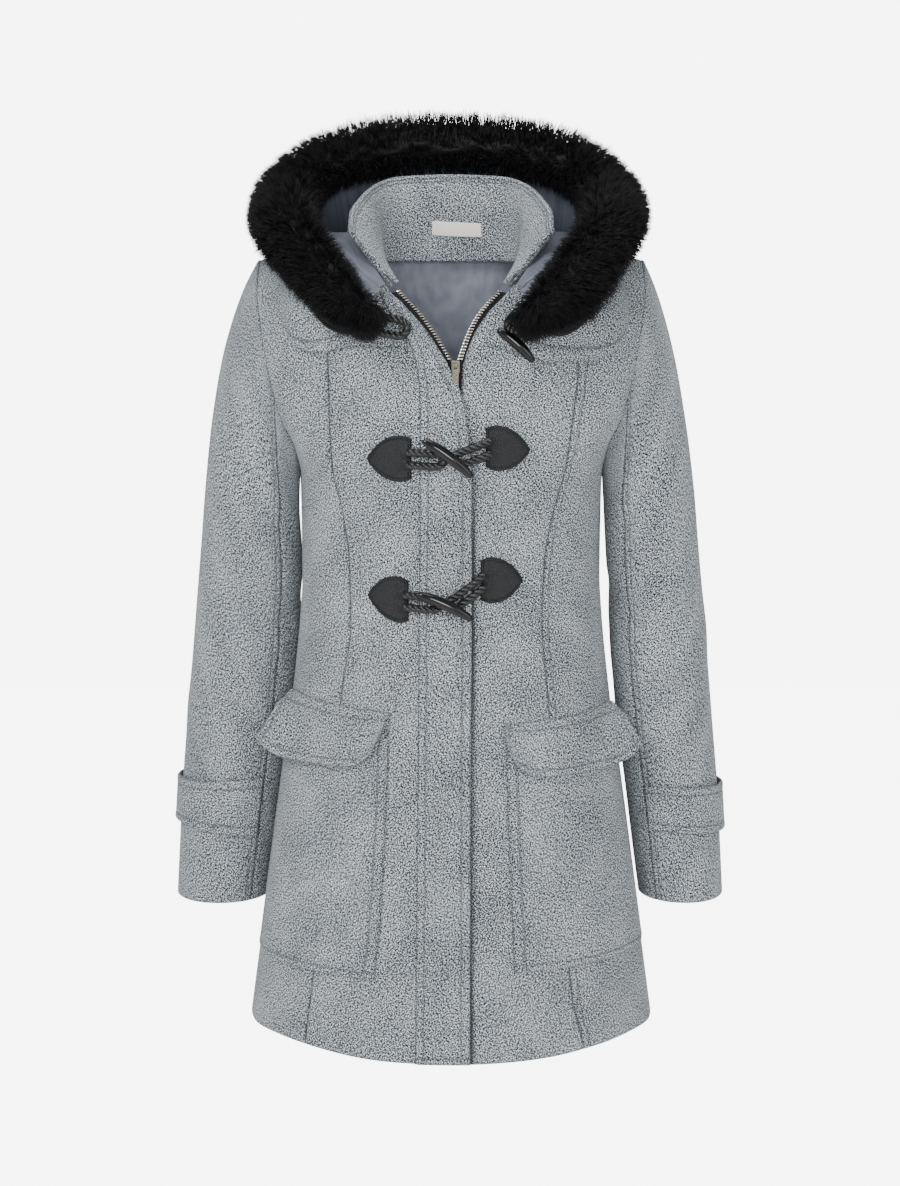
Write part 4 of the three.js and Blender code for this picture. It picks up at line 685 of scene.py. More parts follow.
def makeHorn(name, look):
    material, tree, surface = newMaterial(name, {
        "Roughness": look["rough"], "IOR": 1.5, "Specular IOR Level": 0.3, "Coat Weight": 0.35,
        "Coat Roughness": 0.03,
    })
    place = addNode(tree, "ShaderNodeUVMap", uv_map="cloth")
    scaled = addNode(tree, "ShaderNodeMapping", {"Scale": (1000, 1000, 1000)}, {"Vector": place.outputs["UV"]})
    drawn = addNode(tree, "ShaderNodeMapping", {"Scale": (0.6, 0.09, 1)}, {"Vector": scaled.outputs["Vector"]})
    streak = addNode(tree, "ShaderNodeTexNoise", {"Scale": 1.0, "Detail": 4.0, "Distortion": 0.8},
                     {"Vector": drawn.outputs["Vector"]}, noise_dimensions="2D")
    ramp = addNode(tree, "ShaderNodeValToRGB", None, {"Fac": streak.outputs["Fac"]})
    shade = setStops(ramp, [(0.45, colour(look["dark"])), (0.75, colour(look["streak"]))])
    tree.links.new(shade, surface.inputs["Base Color"])
    scratch = addNode(tree, "ShaderNodeTexNoise", {"Scale": 0.8, "Detail": 5.0},
                      {"Vector": scaled.outputs["Vector"]}, noise_dimensions="2D")
    bump = addNode(tree, "ShaderNodeBump", {"Strength": 0.08, "Distance": 0.0002},
                   {"Height": scratch.outputs["Fac"]})
    tree.links.new(bump.outputs["Normal"], surface.inputs["Normal"])
    return material


# Nickel-plated brass: a warm white metal, tumbled smooth, with fine handling marks
nickelLook = dict(face="d9d5cb", dull="9a968c", rough=0.22)


def makeNickel(name, look):
    material, tree, surface = newMaterial(name, {"Roughness": look["rough"], "Metallic": 1.0})
    place = addNode(tree, "ShaderNodeTexCoord")
    mark = addNode(tree, "ShaderNodeTexNoise", {"Scale": 900.0, "Detail": 3.0}, {"Vector": place.outputs["Object"]})
    ramp = addNode(tree, "ShaderNodeValToRGB", None, {"Fac": mark.outputs["Fac"]})
    shade = setStops(ramp, [(0.35, colour(look["dull"])), (0.6, colour(look["face"]))])
    tree.links.new(shade, surface.inputs["Base Color"])
    spread = addNode(tree, "ShaderNodeMapRange", {"To Min": look["rough"] - 0.06, "To Max": look["rough"] + 0.12},
                     {"Value": mark.outputs["Fac"]})
    tree.links.new(spread.outputs["Result"], surface.inputs["Roughness"])
    return material


# Woven polyester: the zip tape's herringbone and the label's plain weave
tapeLook = dict(dark="101113", light="232528", rough=0.85, thread=0.9)
labelLook = dict(dark="e9e6de", light="f8f6f0", rough=0.7, thread=0.7)


def makeWoven(name, look):
    material, tree, surface = newMaterial(name, {
        "Roughness": look["rough"], "IOR": 1.48, "Specular IOR Level": 0.3, "Sheen Weight": 0.15,
        "Sheen Roughness": 0.5,
    })
    place = addNode(tree, "ShaderNodeUVMap", uv_map="cloth")
    scaled = addNode(tree, "ShaderNodeMapping", {"Scale": (1000, 1000, 1000)}, {"Vector": place.outputs["UV"]})
    warp = addNode(tree, "ShaderNodeTexWave", {"Scale": 1 / look["thread"], "Distortion": 0.5},
                   {"Vector": scaled.outputs["Vector"]}, wave_type="BANDS", bands_direction="X")
    weft = addNode(tree, "ShaderNodeTexWave", {"Scale": 1 / look["thread"], "Distortion": 0.5},
                   {"Vector": scaled.outputs["Vector"]}, wave_type="BANDS", bands_direction="Y")
    crossed = addNode(tree, "ShaderNodeMath", None, {0: warp.outputs["Fac"], 1: weft.outputs["Fac"]},
                      operation="MULTIPLY")
    ramp = addNode(tree, "ShaderNodeValToRGB", None, {"Fac": crossed.outputs[0]})
    shade = setStops(ramp, [(0.05, colour(look["dark"])), (0.6, colour(look["light"]))])
    tree.links.new(shade, surface.inputs["Base Color"])
    bump = addNode(tree, "ShaderNodeBump", {"Strength": 0.4, "Distance": 0.0002}, {"Height": crossed.outputs[0]})
    tree.links.new(bump.outputs["Normal"], surface.inputs["Normal"])
    return material


# Core-spun polyester thread: twisted, with a slight gloss
threadLook = dict(grey="6c7379", grey2="858c92", black="141518", black2="2c2e31", rough=0.6)


def makeThread(name, first, second, rough):
    material, tree, surface = newMaterial(name, {
        "Roughness": rough, "IOR": 1.5, "Specular IOR Level": 0.35, "Sheen Weight": 0.1,
    })
    place = addNode(tree, "ShaderNodeTexCoord")
    ply = addNode(tree, "ShaderNodeTexNoise", {"Scale": 700.0, "Detail": 1.0}, {"Vector": place.outputs["Object"]})
    ramp = addNode(tree, "ShaderNodeValToRGB", None, {"Fac": ply.outputs["Fac"]})
    shade = setStops(ramp, [(0.4, colour(first)), (0.6, colour(second))])
    tree.links.new(shade, surface.inputs["Base Color"])
    return material


woolMelton = makeWool("wool melton", woolLook)
satinLining = makeSatin("acetate satin lining", satinLook)
# painted shade: the hood's lining is the lining satin made darker, standing in for the fur's shadow inside the hood
shadedHoodSatin = makeSatin("acetate satin hood lining in painted shade", satinLook | dict(face="686c79", shade="565a66"))
fauxFur = makeFur("modacrylic faux fur", furLook)
leatherette = makeLeatherette("pebbled leatherette", leatherLook)
ropeYarn = makeRope("polyester rope yarn", ropeLook)
hornResin = makeHorn("horn-like resin", hornLook)
nickelZip = makeNickel("nickel-plated brass", nickelLook)
nickelPull = makeNickel("nickel-plated zinc slider", nickelLook | dict(face="69645a", dull="2e2b27", rough=0.34))
zipTape = makeWoven("woven zip tape", tapeLook)
labelWeave = makeWoven("woven label", labelLook)
greyThread = makeThread("grey topstitch thread", threadLook["grey"], threadLook["grey2"], threadLook["rough"])
blackThread = makeThread("black patch thread", threadLook["black"], threadLook["black2"], threadLook["rough"])
print("materials ready")


# Camera at the photograph's angle: 8 degrees above level, 2.3 m from the middle of the coat
view = dict(distance=2300, tilt=8, middle=(0, 0, -333), focal=71.97)
tilt = math.radians(view["tilt"])
camera = bpy.data.objects.new("camera", bpy.data.cameras.new("camera"))
bpy.context.collection.objects.link(camera)
camera.data.sensor_width = 36
camera.data.lens = view["focal"]
middle = Vector(view["middle"])
back = Vector((0, -math.cos(tilt), math.sin(tilt))) * view["distance"]
camera.location = (middle + back + Vector((-1, 0, 0))) * mm
camera.rotation_euler = (-back).to_track_quat("-Z", "Y").to_euler()
camera.data.clip_start = 0.05
camera.data.clip_end = 60
bpy.context.scene.camera = camera

# Stitches: short threads sunk into the cloth at both ends, joined into one piece
sewing = {}
stitchSize = dict(long=2.9, gap=1.0, radius=0.3, proud=0.16)


def sew(group, path, outs, stitch=None):
    sewing.setdefault(group, []).append((path, outs, stitch or stitchSize))


def stitchMesh(path, outs, stitch):
    steps = np.linalg.norm(np.diff(path, axis=0), axis=1)
    run = np.concatenate([[0], np.cumsum(steps)])
    pitch = stitch["long"] + stitch["gap"]
    count = max(1, int(run[-1] / pitch))
    starts = (run[-1] - count * pitch) / 2 + np.arange(count) * pitch + stitch["gap"] / 2

    def at(s):
        spot = np.stack([np.interp(s, run, path[:, k]) for k in range(3)], -1)
        out = unit(np.stack([np.interp(s, run, outs[:, k]) for k in range(3)], -1))
        return spot, out

    ends = [(0.0, -0.5, 0.0), (0.22, 0.8, 1.0), (0.78, 0.8, 1.0), (1.0, -0.5, 0.0)]
    points = []
    for share, high, wide in ends:
        spot, out = at(starts + share * stitch["long"])
        ahead = unit(at(starts + share * stitch["long"] + 0.3)[0] - at(starts + share * stitch["long"] - 0.3)[0])
        side = np.cross(ahead, out)
        spot = spot + out * (high * stitch["radius"] + (stitch["proud"] if wide else 0))
        if wide:
            for turn in (0.25, 0.75, 1.25, 1.75):
                angle = turn * math.pi
                points.append(spot + stitch["radius"] * (side * math.cos(angle) + out * math.sin(angle)))
        else:
            points.append(spot)
    grid = np.stack(points, 1)
    one = []
    for k in range(4):
        n = (k + 1) % 4
        one += [(0, 1 + n, 1 + k), (1 + k, 1 + n, 5 + n), (1 + k, 5 + n, 5 + k), (5 + k, 5 + n, 9)]
    faces = (np.array(one)[None] + 10 * np.arange(count)[:, None, None]).reshape(-1, 3)
    return grid.reshape(-1, 3), faces


def finishSewing():
    for group, (parts) in sewing.items():
        points = []
        faces = []
        start = 0
        for path, outs, stitch in parts:
            found, quads = stitchMesh(path, outs, stitch)
            points.append(found)
            faces.append(quads + start)
            start += len(found)
        material = blackThread if group.startswith("patch") else greyThread
        piece = makeMesh(group, np.concatenate(points), np.concatenate(faces), [material], sharp=0)
        settle(piece, [])


def clothPiece(name, place, width, height, kinds, stitches, thick, group, materials=None, step=5.0,
               soft=1.0, nodes=None, turn=0.0, down=(), sink=1.0,
               shadeAt=None):
    # one cut piece of cloth: its rolled and stitched outer face over a plain inner face
    i, j, lift, distances, pressedAndShade = clothGrid(place, width, height, kinds, stitches, step, thick, soft)
    outer = place(i, j, lift + thick)
    # painted shadow: shadeAt darkens the face where a raised edge beside it casts shade
    if shadeAt:
        pressedAndShade = np.maximum(pressedAndShade, shadeAt(outer))
    # where it is sewn on, its edge is drawn down to the cloth under it
    low = 0 * i
    for side in down:
        low = np.minimum(low, -sink * (1 - ease(distances[side] / 3)))
    inside = place(i, j, low)
    piece = makeWall(name, outer, inside, materials or [woolMelton], nodes or [name], turn,
                     pressedAndShade)
    outs = unit(outer - inside)
    for side in range(4):
        for line in stitches[side]:
            if side < 2:
                column = int(np.argmin(np.abs(distances[side] - line).mean(0)))
                sew(group, outer[:, column], outs[:, column])
            else:
                row = int(np.argmin(np.abs(distances[side] - line).mean(1)))
                sew(group, outer[row], outs[row])
    return piece, outer, outs


# Zip cover: its sewn edge and free edge, from the rounded top to the hem
placket = dict(step=5.0, stitch=7.5, freeStitch=8.5, hemStitch=6.0, rise=1.6, loose=3.6, top=-42, hem=-756.4, rows=[
    (-42, -66, -58), (-50, -62, -46), (-64, -54, -35.5), (-84, -40, -19), (-103, -33, -5), (-118, -30.5, 2),
    (-133, -29, 9), (-170, -28.5, 15.5), (-222, -28.5, 19), (-330, -29.5, 19), (-500, -31, 18),
    (-756.4, -33.5, 17.7),
])

# Body panels, shoulder to hem. The line of stitches lies beside the seams that have one.
panels = dict(step=5.0, stitch=6.0)


def rowWidths(half, side, first, last, drops):
    a = bodyBase(half, side, first(drops), drops)
    b = bodyBase(half, side, last(drops), drops)
    return np.linalg.norm(a - b, axis=-1) * 1.04


def makePanel(name, half, side, first, last, kinds, stitches, shadeAt=None):
    drops = np.linspace(body["shoulder"], body["hem"], 60)
    width = rowWidths(half, side, first, last, drops)

    def place(i, j, lift):
        drop = mix(body["shoulder"], body["hem"], j)
        found = bodyPoint(half, side, mix(first(drop), last(drop), i), drop, lift - cloth["wool"])
        if half == "back":
            # its middle edge meets the other half
            found[..., 0] -= side * 0.25 * (1 - ease(i / 0.08))
        return found

    return clothPiece(name, place, width, body["hem"] - body["shoulder"], kinds, stitches, cloth["wool"],
                      "topstitching_body", [woolMelton, satinLining], panels["step"],
                      shadeAt=shadeAt)


def placketShadowAt(points):
    # painted shadow: the face is darkened in the gap beside the placket's free edge, where the raised edge casts shade
    z, free = np.array(placket["rows"], float)[:, [0, 2]].T
    beside = points[..., 0] - smoothLine(z, free)(np.clip(points[..., 2], z[-1], z[0]))
    return bell((beside - 0.5) / 3.2) * ease((-150 - points[..., 2]) / 60)


for side in (-1, 1):
    named = sideName(side)

    def princessAt(drop, side=side, named=named):
        return acrossAt(side, princess[named](drop), drop)

    makePanel(f"front_{named}_centre", "front", side, lambda d: 0 * d, princessAt,
              ("edge", "seam", "seam", "edge"), ((), (), (), ()), placketShadowAt if side > 0 else None)
    makePanel(f"front_{named}_side", "front", side, princessAt, lambda d: 1 + 0 * d, ("seam", "seam", "seam", "edge"),
              ((panels["stitch"],) if side > 0 else (), (), (), ()))
    makePanel(f"back_{named}", "back", side, lambda d: 0 * d, lambda d: 1 + 0 * d,
              ("seam", "seam", "seam", "edge"), ((), (), (), ()))
print("body panels ready")


# Sleeves: a smooth skin through the rings of the solids
capRows = capSteps + list(range(1, len(sleeveRows["rows"]) + 1))


def sleeveRing(side, index, drop):
    named = sideName(side)
    angle = 2 * math.pi * index / ringCount
    far = arm[f"{named}Out"](drop)
    near = arm[f"{named}In"](drop)
    level = 7 if drop == sleeveRows["rows"][0][0] else 0
    return vec(side * ((far + near) / 2 + (far - near) / 2 * np.cos(angle)),
               arm[f"{named}Y"](drop) - arm["deep"](drop) * np.sin(angle),
               -drop + level * np.cos(angle) - cuffLonger[named] * ease((drop - 580) / 56))


def sleeveControl(side):
    index = np.arange(ringCount)
    angle = 2 * math.pi * index / ringCount
    front = index <= ringCount / 2
    step = np.where(front, index, ringCount - index)
    drops = np.array(armholeDrops, float)[step]
    one = np.ones_like(drops)
    start = np.where(front[:, None], bodyBase("front", side, one, drops), bodyBase("back", side, one, drops))
    end = sleeveRing(side, index, sleeveRows["rows"][0][0])
    start = start - unit(end - start) * cloth["tuck"]
    rings = []
    for t in capSteps:
        swell = math.sin(math.pi * t ** 0.8)
        ring = mix(start, end, t)
        ring[:, 0] += side * capBulge[sideName(side)] * swell * np.maximum(0, np.cos(angle)) ** 1.5
        ring[:, 1] -= 4 * swell * np.sin(angle)
        ring[:, 2] += 3 * swell * np.maximum(0, np.cos(angle))
        rings.append(ring)
    rings += [sleeveRing(side, index, row[0]) for row in sleeveRows["rows"]]
    points = np.stack(rings)
    length = np.maximum(1e-3, np.linalg.norm(np.diff(points, axis=0), axis=-1))[..., None]
    grade = np.diff(points, axis=0) / length
    tangent = np.concatenate([grade[:1], np.zeros_like(points[1:-1]), grade[-1:]])
    tangent[1:-1] = (grade[1:] * length[:-1] + grade[:-1] * length[1:]) / (length[1:] + length[:-1])
    return points, length, tangent, start


controls = {side: sleeveControl(side) for side in (-1, 1)}


def sleeveBase(side, index, step):
    points, length, tangent, start = controls[side]
    row = np.interp(step, capRows, np.arange(len(capRows)))
    i = np.clip(np.floor(row).astype(int), 0, len(capRows) - 2)
    t = (row - i)[..., None]
    column = np.floor(index).astype(int)
    f = (index - column)[..., None]
    found = 0
    weights = (-0.5 * f + f ** 2 - 0.5 * f ** 3, 1 - 2.5 * f ** 2 + 1.5 * f ** 3,
               0.5 * f + 2 * f ** 2 - 1.5 * f ** 3, -0.5 * f ** 2 + 0.5 * f ** 3)
    for k, weight in zip((-1, 0, 1, 2), weights):
        c = (column + k) % ringCount
        near = (1 + 2 * t) * (1 - t) ** 2 * points[i, c] + t * (1 - t) ** 2 * length[i, c] * tangent[i, c]
        far = t * t * (3 - 2 * t) * points[i + 1, c] + t * t * (t - 1) * length[i, c] * tangent[i + 1, c]
        found = found + weight * (near + far)
    return found


def sleeveFold(side, degrees, drop):
    total = 0
    for foldSide, foldTurn, foldDrop, wide, long, deep, slope in sleeveFolds:
        if foldSide == side:
            turn = (degrees - foldTurn + 540) % 360 - 180
            total = total + deep * bell(turn / wide) * bell((drop - foldDrop - slope * turn) / long)
    return total


def sleevePoint(side, index, step, lift):
    index, step, lift = (np.asarray(v, float) for v in np.broadcast_arrays(index, step, lift))
    base = sleeveBase(side, index, step)
    across = sleeveBase(side, index + 0.4, step) - sleeveBase(side, index - 0.4, step)
    down = sleeveBase(side, index, np.minimum(8, step + 0.05)) - sleeveBase(side, index, np.maximum(0.02, step - 0.05))
    out = unit(np.cross(across, down)) * side
    seam = sleeveBase(side, index, 0 * step)
    out = unit(mix(out, armholeOut(side, seam), (1 - ease(step / 0.3))[..., None]))
    degrees = 360 * (index % ringCount) / ringCount
    fold = sleeveFold(side, degrees, -base[..., 2]) * ease(step - 0.5)
    return base + out * (fold + lift)[..., None]


def evenly(path, count=600):
    # turns an even share of a path's length into the path's own measure
    t = np.linspace(0, 1, count)
    points = path(t)
    run = np.concatenate([[0], np.cumsum(np.linalg.norm(np.diff(points, axis=0), axis=1))])
    return (lambda share: np.interp(share, run / run[-1], t)), run[-1]


sleeves = dict(step=5.0, stitch=6.5)
tabs = dict(stitch=8.0, step=4.0, proud=2.2,
            left=dict(seamTop=513, seamEnd=572, outTop=517, outEnd=562),
            right=dict(seamTop=515, seamEnd=560, outTop=519, outEnd=566))


def makeSleeve(name, side, first, last, stitched):
    steps = np.linspace(0, 8, 120)
    toStep, long = evenly(lambda t: sleeveBase(side, np.full_like(t, (first + last) / 2), t * 8))
    index = np.linspace(first, last, 60)[None]
    rim = sleeveBase(side, np.repeat(index, 120, 0), np.repeat(toStep(np.linspace(0, 1, 120))[:, None] * 8, 60, 1))
    width = np.linalg.norm(np.diff(rim, axis=1), axis=-1).sum(1)

    def place(i, j, lift):
        return sleevePoint(side, mix(first, last, i), toStep(j) * 8, lift - cloth["wool"])

    right = (sleeves["stitch"],) if stitched else ()
    return clothPiece(name, place, width, long, ("seam", "seam", "seam", "edge"), ((), right, (), ()),
                      cloth["wool"], "topstitching_sleeves", [woolMelton, satinLining], sleeves["step"])


def stepAt(drop):
    return np.interp(drop, [row[0] for row in sleeveRows["rows"]], np.arange(1, 9))


for side in (-1, 1):
    named = sideName(side)
    makeSleeve(f"sleeve_{named}_top", side, -backSeam, frontSeam, True)
    makeSleeve(f"sleeve_{named}_under", side, frontSeam, ringCount - backSeam, False)
    tab = tabs[named]

    def tabPlace(i, j, lift, side=side, tab=tab):
        index = mix(frontSeam - 0.2, -backSeam + 0.2, i)
        outer = ease(i / 0.5)
        drop = mix(mix(tab["seamTop"], tab["outTop"], outer), mix(tab["seamEnd"], tab["outEnd"], outer), j)
        proud = tabs["proud"] * np.sin(math.pi * np.clip(i, 0, 1))
        return sleevePoint(side, index, stepAt(drop), lift + cloth["lift"] + proud)

    stitch = (tabs["stitch"],)
    clothPiece(f"sleeve_tab_{named}", tabPlace, 205, 48, ("seam", "seam", "edge", "edge"), ((), (), stitch, stitch),
               cloth["wool"], "topstitching_sleeves", step=tabs["step"])
print("sleeves ready")


# Collar, its facing and the blank label
def alongLine(line, at, columns):
    half = 1 - np.abs(2 * at - 1)
    side = np.where(at < 0.5, -1.0, 1.0)
    return vec(side * line[columns[0]](half), line[columns[1]](half), line[columns[2]](half))


def collarBase(at, up):
    foot = alongLine(neckLine, at, ("x", "y", "z")) + (0, 0, 1.2)
    top = alongLine(topLine, at, ("x", "y", "z"))
    found = mix(foot, top, up[..., None])
    waist = np.sin(math.pi * np.clip(up, 0, 1))
    hollow = -5 * waist * ease((1 - np.abs(2 * at - 1)) / 0.3)
    away = unit(vec(found[..., 0], found[..., 1] - 10, 0))
    return found + away * hollow[..., None]


def collarPoint(at, up, lift):
    at, up, lift = (np.asarray(v, float) for v in np.broadcast_arrays(at, up, lift))
    base = collarBase(at, up)
    across = collarBase(np.minimum(1, at + 0.01), up) - collarBase(np.maximum(0, at - 0.01), up)
    out = unit(np.cross(across, collarBase(at, up + 0.02) - collarBase(at, up - 0.02)))
    outward = vec(base[..., 0], base[..., 1] - 20, -20)
    out = np.where((out * outward).sum(-1, keepdims=True) < 0, -out, out)
    return base + out * lift[..., None]


def facingPoint(at, up, lift):
    at, up, lift = (np.asarray(v, float) for v in np.broadcast_arrays(at, up, lift))
    half = 1 - np.abs(2 * at - 1)
    inside = lift - cloth["wool"] - 0.3 - 3.3 * ease(1 - up / 0.34)
    found = collarPoint(at, np.maximum(0, up), inside)
    low = np.minimum(0, up)
    away = unit(vec(found[..., 0], found[..., 1] - 10, 0))
    found = found + away * (1.5 * low)[..., None]
    found[..., 2] += 24 * ease(half / 0.7) * low
    return found


collar = dict(stitches=(5.0, 8.2), step=4.0, height=64, facingHeight=88)
label = dict(at=0.512, wide=0.108, low=0.03, high=0.245, thick=0.7, size=(46, 13))
toCollar, collarLong = evenly(lambda t: collarBase(t, np.full_like(t, 0.9)))
clothPiece("collar", lambda i, j, lift: collarPoint(toCollar(i), 1 - j, lift - cloth["wool"]), collarLong,
           collar["height"], ("edge", "edge", "edge", "seam"), ((5.0,), (5.0,), collar["stitches"], ()),
           cloth["wool"], "topstitching_collar", step=collar["step"])


def facingUp(j):
    # even down the collar, then below the neck seam
    return np.interp(j, [0, 0.7, 1], [1, 0, -1])


clothPiece("collar_facing", lambda i, j, lift: facingPoint(toCollar(i), facingUp(j), -lift), collarLong,
           collar["facingHeight"], ("edge", "edge", "edge", "seam"), ((5.0,), (5.0,), collar["stitches"], ()),
           cloth["wool"], "topstitching_collar", step=collar["step"])


def labelPlace(i, j, lift):
    at = label["at"] + label["wide"] * (i - 0.5)
    up = mix(label["high"], label["low"], j) - 0.035 * (i - 0.5)
    sag = 0.5 * np.sin(math.pi * i) * j
    return facingPoint(at, up, -cloth["wool"] - 0.35 - sag - lift)


clothPiece("neck_label", labelPlace, label["size"][0], label["size"][1], ("edge",) * 4, ((), (), (), ()),
           label["thick"], "topstitching_collar", [labelWeave], 2.0)
tackAt = facingPoint(np.linspace(0.53, 0.5305, 2), np.array([0.42, 0.455]), -cloth["wool"] - 0.2)
tackOut = unit(np.array([[0, -1.0, 0.2]] * 2))
sew("patch_thread_neck", tackAt, tackOut, dict(long=2.2, gap=0.1, radius=0.5, proud=0.2))
print("collar ready")


# Hood bag and its lining
def curveThrough(knots, t):
    # centripetal curve through the knots, which are on the first axis
    count = len(knots)
    place = (count - 1) * np.clip(t, 0, 1)
    i = np.minimum(np.floor(place).astype(int), count - 2)
    w = (place - i)[..., None]
    before = np.concatenate([2 * knots[:1] - knots[1:2], knots, 2 * knots[-1:] - knots[-2:-1]])
    grid = np.indices(t.shape)
    p0, p1, p2, p3 = (before[(i + k, *grid)] for k in range(4))
    d0, d1, d2 = (np.maximum(1e-4, np.linalg.norm(b - a, axis=-1, keepdims=True)) ** 0.5
                  for a, b in ((p0, p1), (p1, p2), (p2, p3)))
    t1 = ((p1 - p0) / d0 - (p2 - p0) / (d0 + d1) + (p2 - p1) / d1) * d1
    t2 = ((p2 - p1) / d1 - (p3 - p1) / (d1 + d2) + (p3 - p2) / d2) * d1
    c2 = -3 * p1 + 3 * p2 - 2 * t1 - t2
    c3 = 2 * p1 - 2 * p2 + t1 + t2
    return p1 + t1 * w + c2 * w ** 2 + c3 * w ** 3


def furFrame(at):
    half = 1 - np.abs(2 * at - 1)
    here = alongLine(furLine, at, ("x", "y", "z"))
    before = alongLine(furLine, np.maximum(0, at - 0.01), ("x", "y", "z"))
    after = alongLine(furLine, np.minimum(1, at + 0.01), ("x", "y", "z"))
    ahead = unit(after - before)
    out = unit(vec(here[..., 0], here[..., 1] - 10, 0))
    out = unit(out - ahead * (out * ahead).sum(-1, keepdims=True))
    up = np.cross(out, ahead)
    up = unit(np.where(up[..., 2:] < 0, -up, up))
    here[..., 0] += furShift
    return here, out, up, ahead, furLine["wide"](half), furLine["tall"](half)


def furPoint(at, turn, grow):
    here, out, up, ahead, wide, tall = furFrame(at)
    return here + out * ((wide + grow) * np.cos(turn))[..., None] + up * ((tall + grow) * np.sin(turn))[..., None]


def hoodBase(at, down):
    neck = alongLine(neckLine, at, ("x", "y", "z"))
    away = unit(vec(neck[..., 0], neck[..., 1] - 10, 0))
    neck = neck + away * mix(12, 4.8, ease((1 - np.abs(2 * at - 1)) / 0.85))[..., None] + (0, 0, 3.4)
    furAt = mix(hoodEnds, 1 - hoodEnds, at)
    join = np.radians(furLine["join"](1 - np.abs(2 * furAt - 1)))
    knots = [neck] + [alongLine(hoodLine, at, (f"{k}X", f"{k}Y", f"{k}Z")) for k in ("low", "foot", "bend", "rise")]
    knots.append(furPoint(furAt, join, 3.4))
    # the edge is sewn in under the fur
    return mix(curveThrough(np.stack(knots), down), furPoint(furAt, join, -20), ease((down - 0.82) / 0.18)[..., None])


def hoodPoint(at, down, lift):
    at, down, lift = (np.asarray(v, float) for v in np.broadcast_arrays(at, down, lift))
    across = hoodBase(np.minimum(1, at + 0.03), down) - hoodBase(np.maximum(0, at - 0.03), down)
    along = hoodBase(at, np.minimum(1, down + 0.07)) - hoodBase(at, np.maximum(0, down - 0.07))
    return hoodBase(at, down) + unit(np.cross(across, along)) * lift[..., None]


hood = dict(step=5.0, long=330, high=250, seam=0.075, rib=1.3, thick=1.8)


def hoodSeams(at, down):
    # the two seams of the hood's middle strip, and soft hangs of the bag
    height = 0
    for place in (0.5 - hood["seam"], 0.5 + hood["seam"]):
        height = height - hood["rib"] * bell((at - place) * hood["long"] * 1.5 / 1.6)
        height = height + 0.5 * bell((np.abs(at - place) * hood["long"] * 1.5 - 5) / 3)
    height = height + 1.6 * bell((at - 0.34) / 0.03) * bell((down - 0.55) / 0.2)
    height = height + 1.8 * bell((at - 0.67) / 0.035) * bell((down - 0.62) / 0.2)
    return height * ease(down / 0.1) * ease((1 - down) / 0.1)


def hoodPlace(i, j, lift):
    return hoodPoint(i, j, -lift - hoodSeams(i, j))


def hoodLiningPlace(i, j, lift):
    gap = cloth["liningGap"] + 0.9 * bell((np.abs(2 * i - 1) - 0.66) / 0.16)
    pleat = 0.9 * bell(np.sin(i * 40) / 0.6) * ease(j / 0.2) * ease((1 - j) / 0.2)
    return hoodPoint(i, j, gap + lift + pleat)


clothPiece("hood", hoodPlace, hood["long"] * 1.5, hood["high"], ("edge", "edge", "seam", "edge"),
           ((), (), (), ()), hood["thick"], "topstitching_collar", step=hood["step"])
clothPiece("hood_lining", hoodLiningPlace, hood["long"] * 1.5, hood["high"], ("edge", "edge", "edge", "edge"),
           ((), (), (), ()), cloth["satin"], "topstitching_collar", [shadedHoodSatin], hood["step"])

# Satin over the inside of the back: a pleat off the middle, and soft folds that fan from the neck
backLining = dict(wide=330, high=160, pleats=[(17, 4.4, 1.4, 0.02), (-12, 2.6, 3, -0.1), (-40, 3.4, 4.5, -0.25),
                                              (40, 3.2, 5, 0.2), (64, 2.4, 6, 0.3), (-68, 2.4, 7, -0.3)])


def backLiningPlace(i, j, lift):
    across = 2 * i - 1
    side = np.where(across < 0, -1.0, 1.0)
    u = np.abs(across) * 0.93
    drop = mix(mix(89, 16, ease(u / 0.42)), 212, j)
    base = bodyPoint("back", side, u, drop, 0 * u)
    pleat = 0
    for x, deep, wide, lean in backLining["pleats"]:
        pleat = pleat + deep * bell((base[..., 0] - x - lean * (drop - 89)) / wide)
    crease = base[..., 0] + 12 + 0.75 * (base[..., 2] + 75)
    pleat = pleat + 2.4 * bell(crease / 2.0) * bell((base[..., 0] + 20) / 26)
    return bodyPoint("back", side, u, drop, -lift - pleat - cloth["wool"] - 2.8)


clothPiece("back_lining", backLiningPlace, backLining["wide"], backLining["high"], ("edge",) * 4,
           ((), (), (), ()), cloth["satin"], "topstitching_collar", [satinLining], 3.5)
print("hood and lining ready")

# Yokes over both shoulders
yokes = dict(step=4.5, stitch=7.0, lift=cloth["yokeLift"], height=82,
             left=[(0, 38, -92), (0.25, 62, -94), (0.5, 92, -93), (0.72, 122, -99), (0.87, 140, -95),
                   (0.95, 150, -84), (1, 155, -66)],
             right=[(0, 32, -90), (0.25, 60, -99), (0.5, 90, -107), (0.72, 124, -106), (0.87, 146, -101),
                    (0.95, 158, -89), (1, 164, -68)])

# Line of stitches that runs from the side of the placket up and over it at the waist
waistArc = [(-45, -391), (-38, -384.5), (-30, -379), (-20, -376), (-9, -378), (1, -383)]

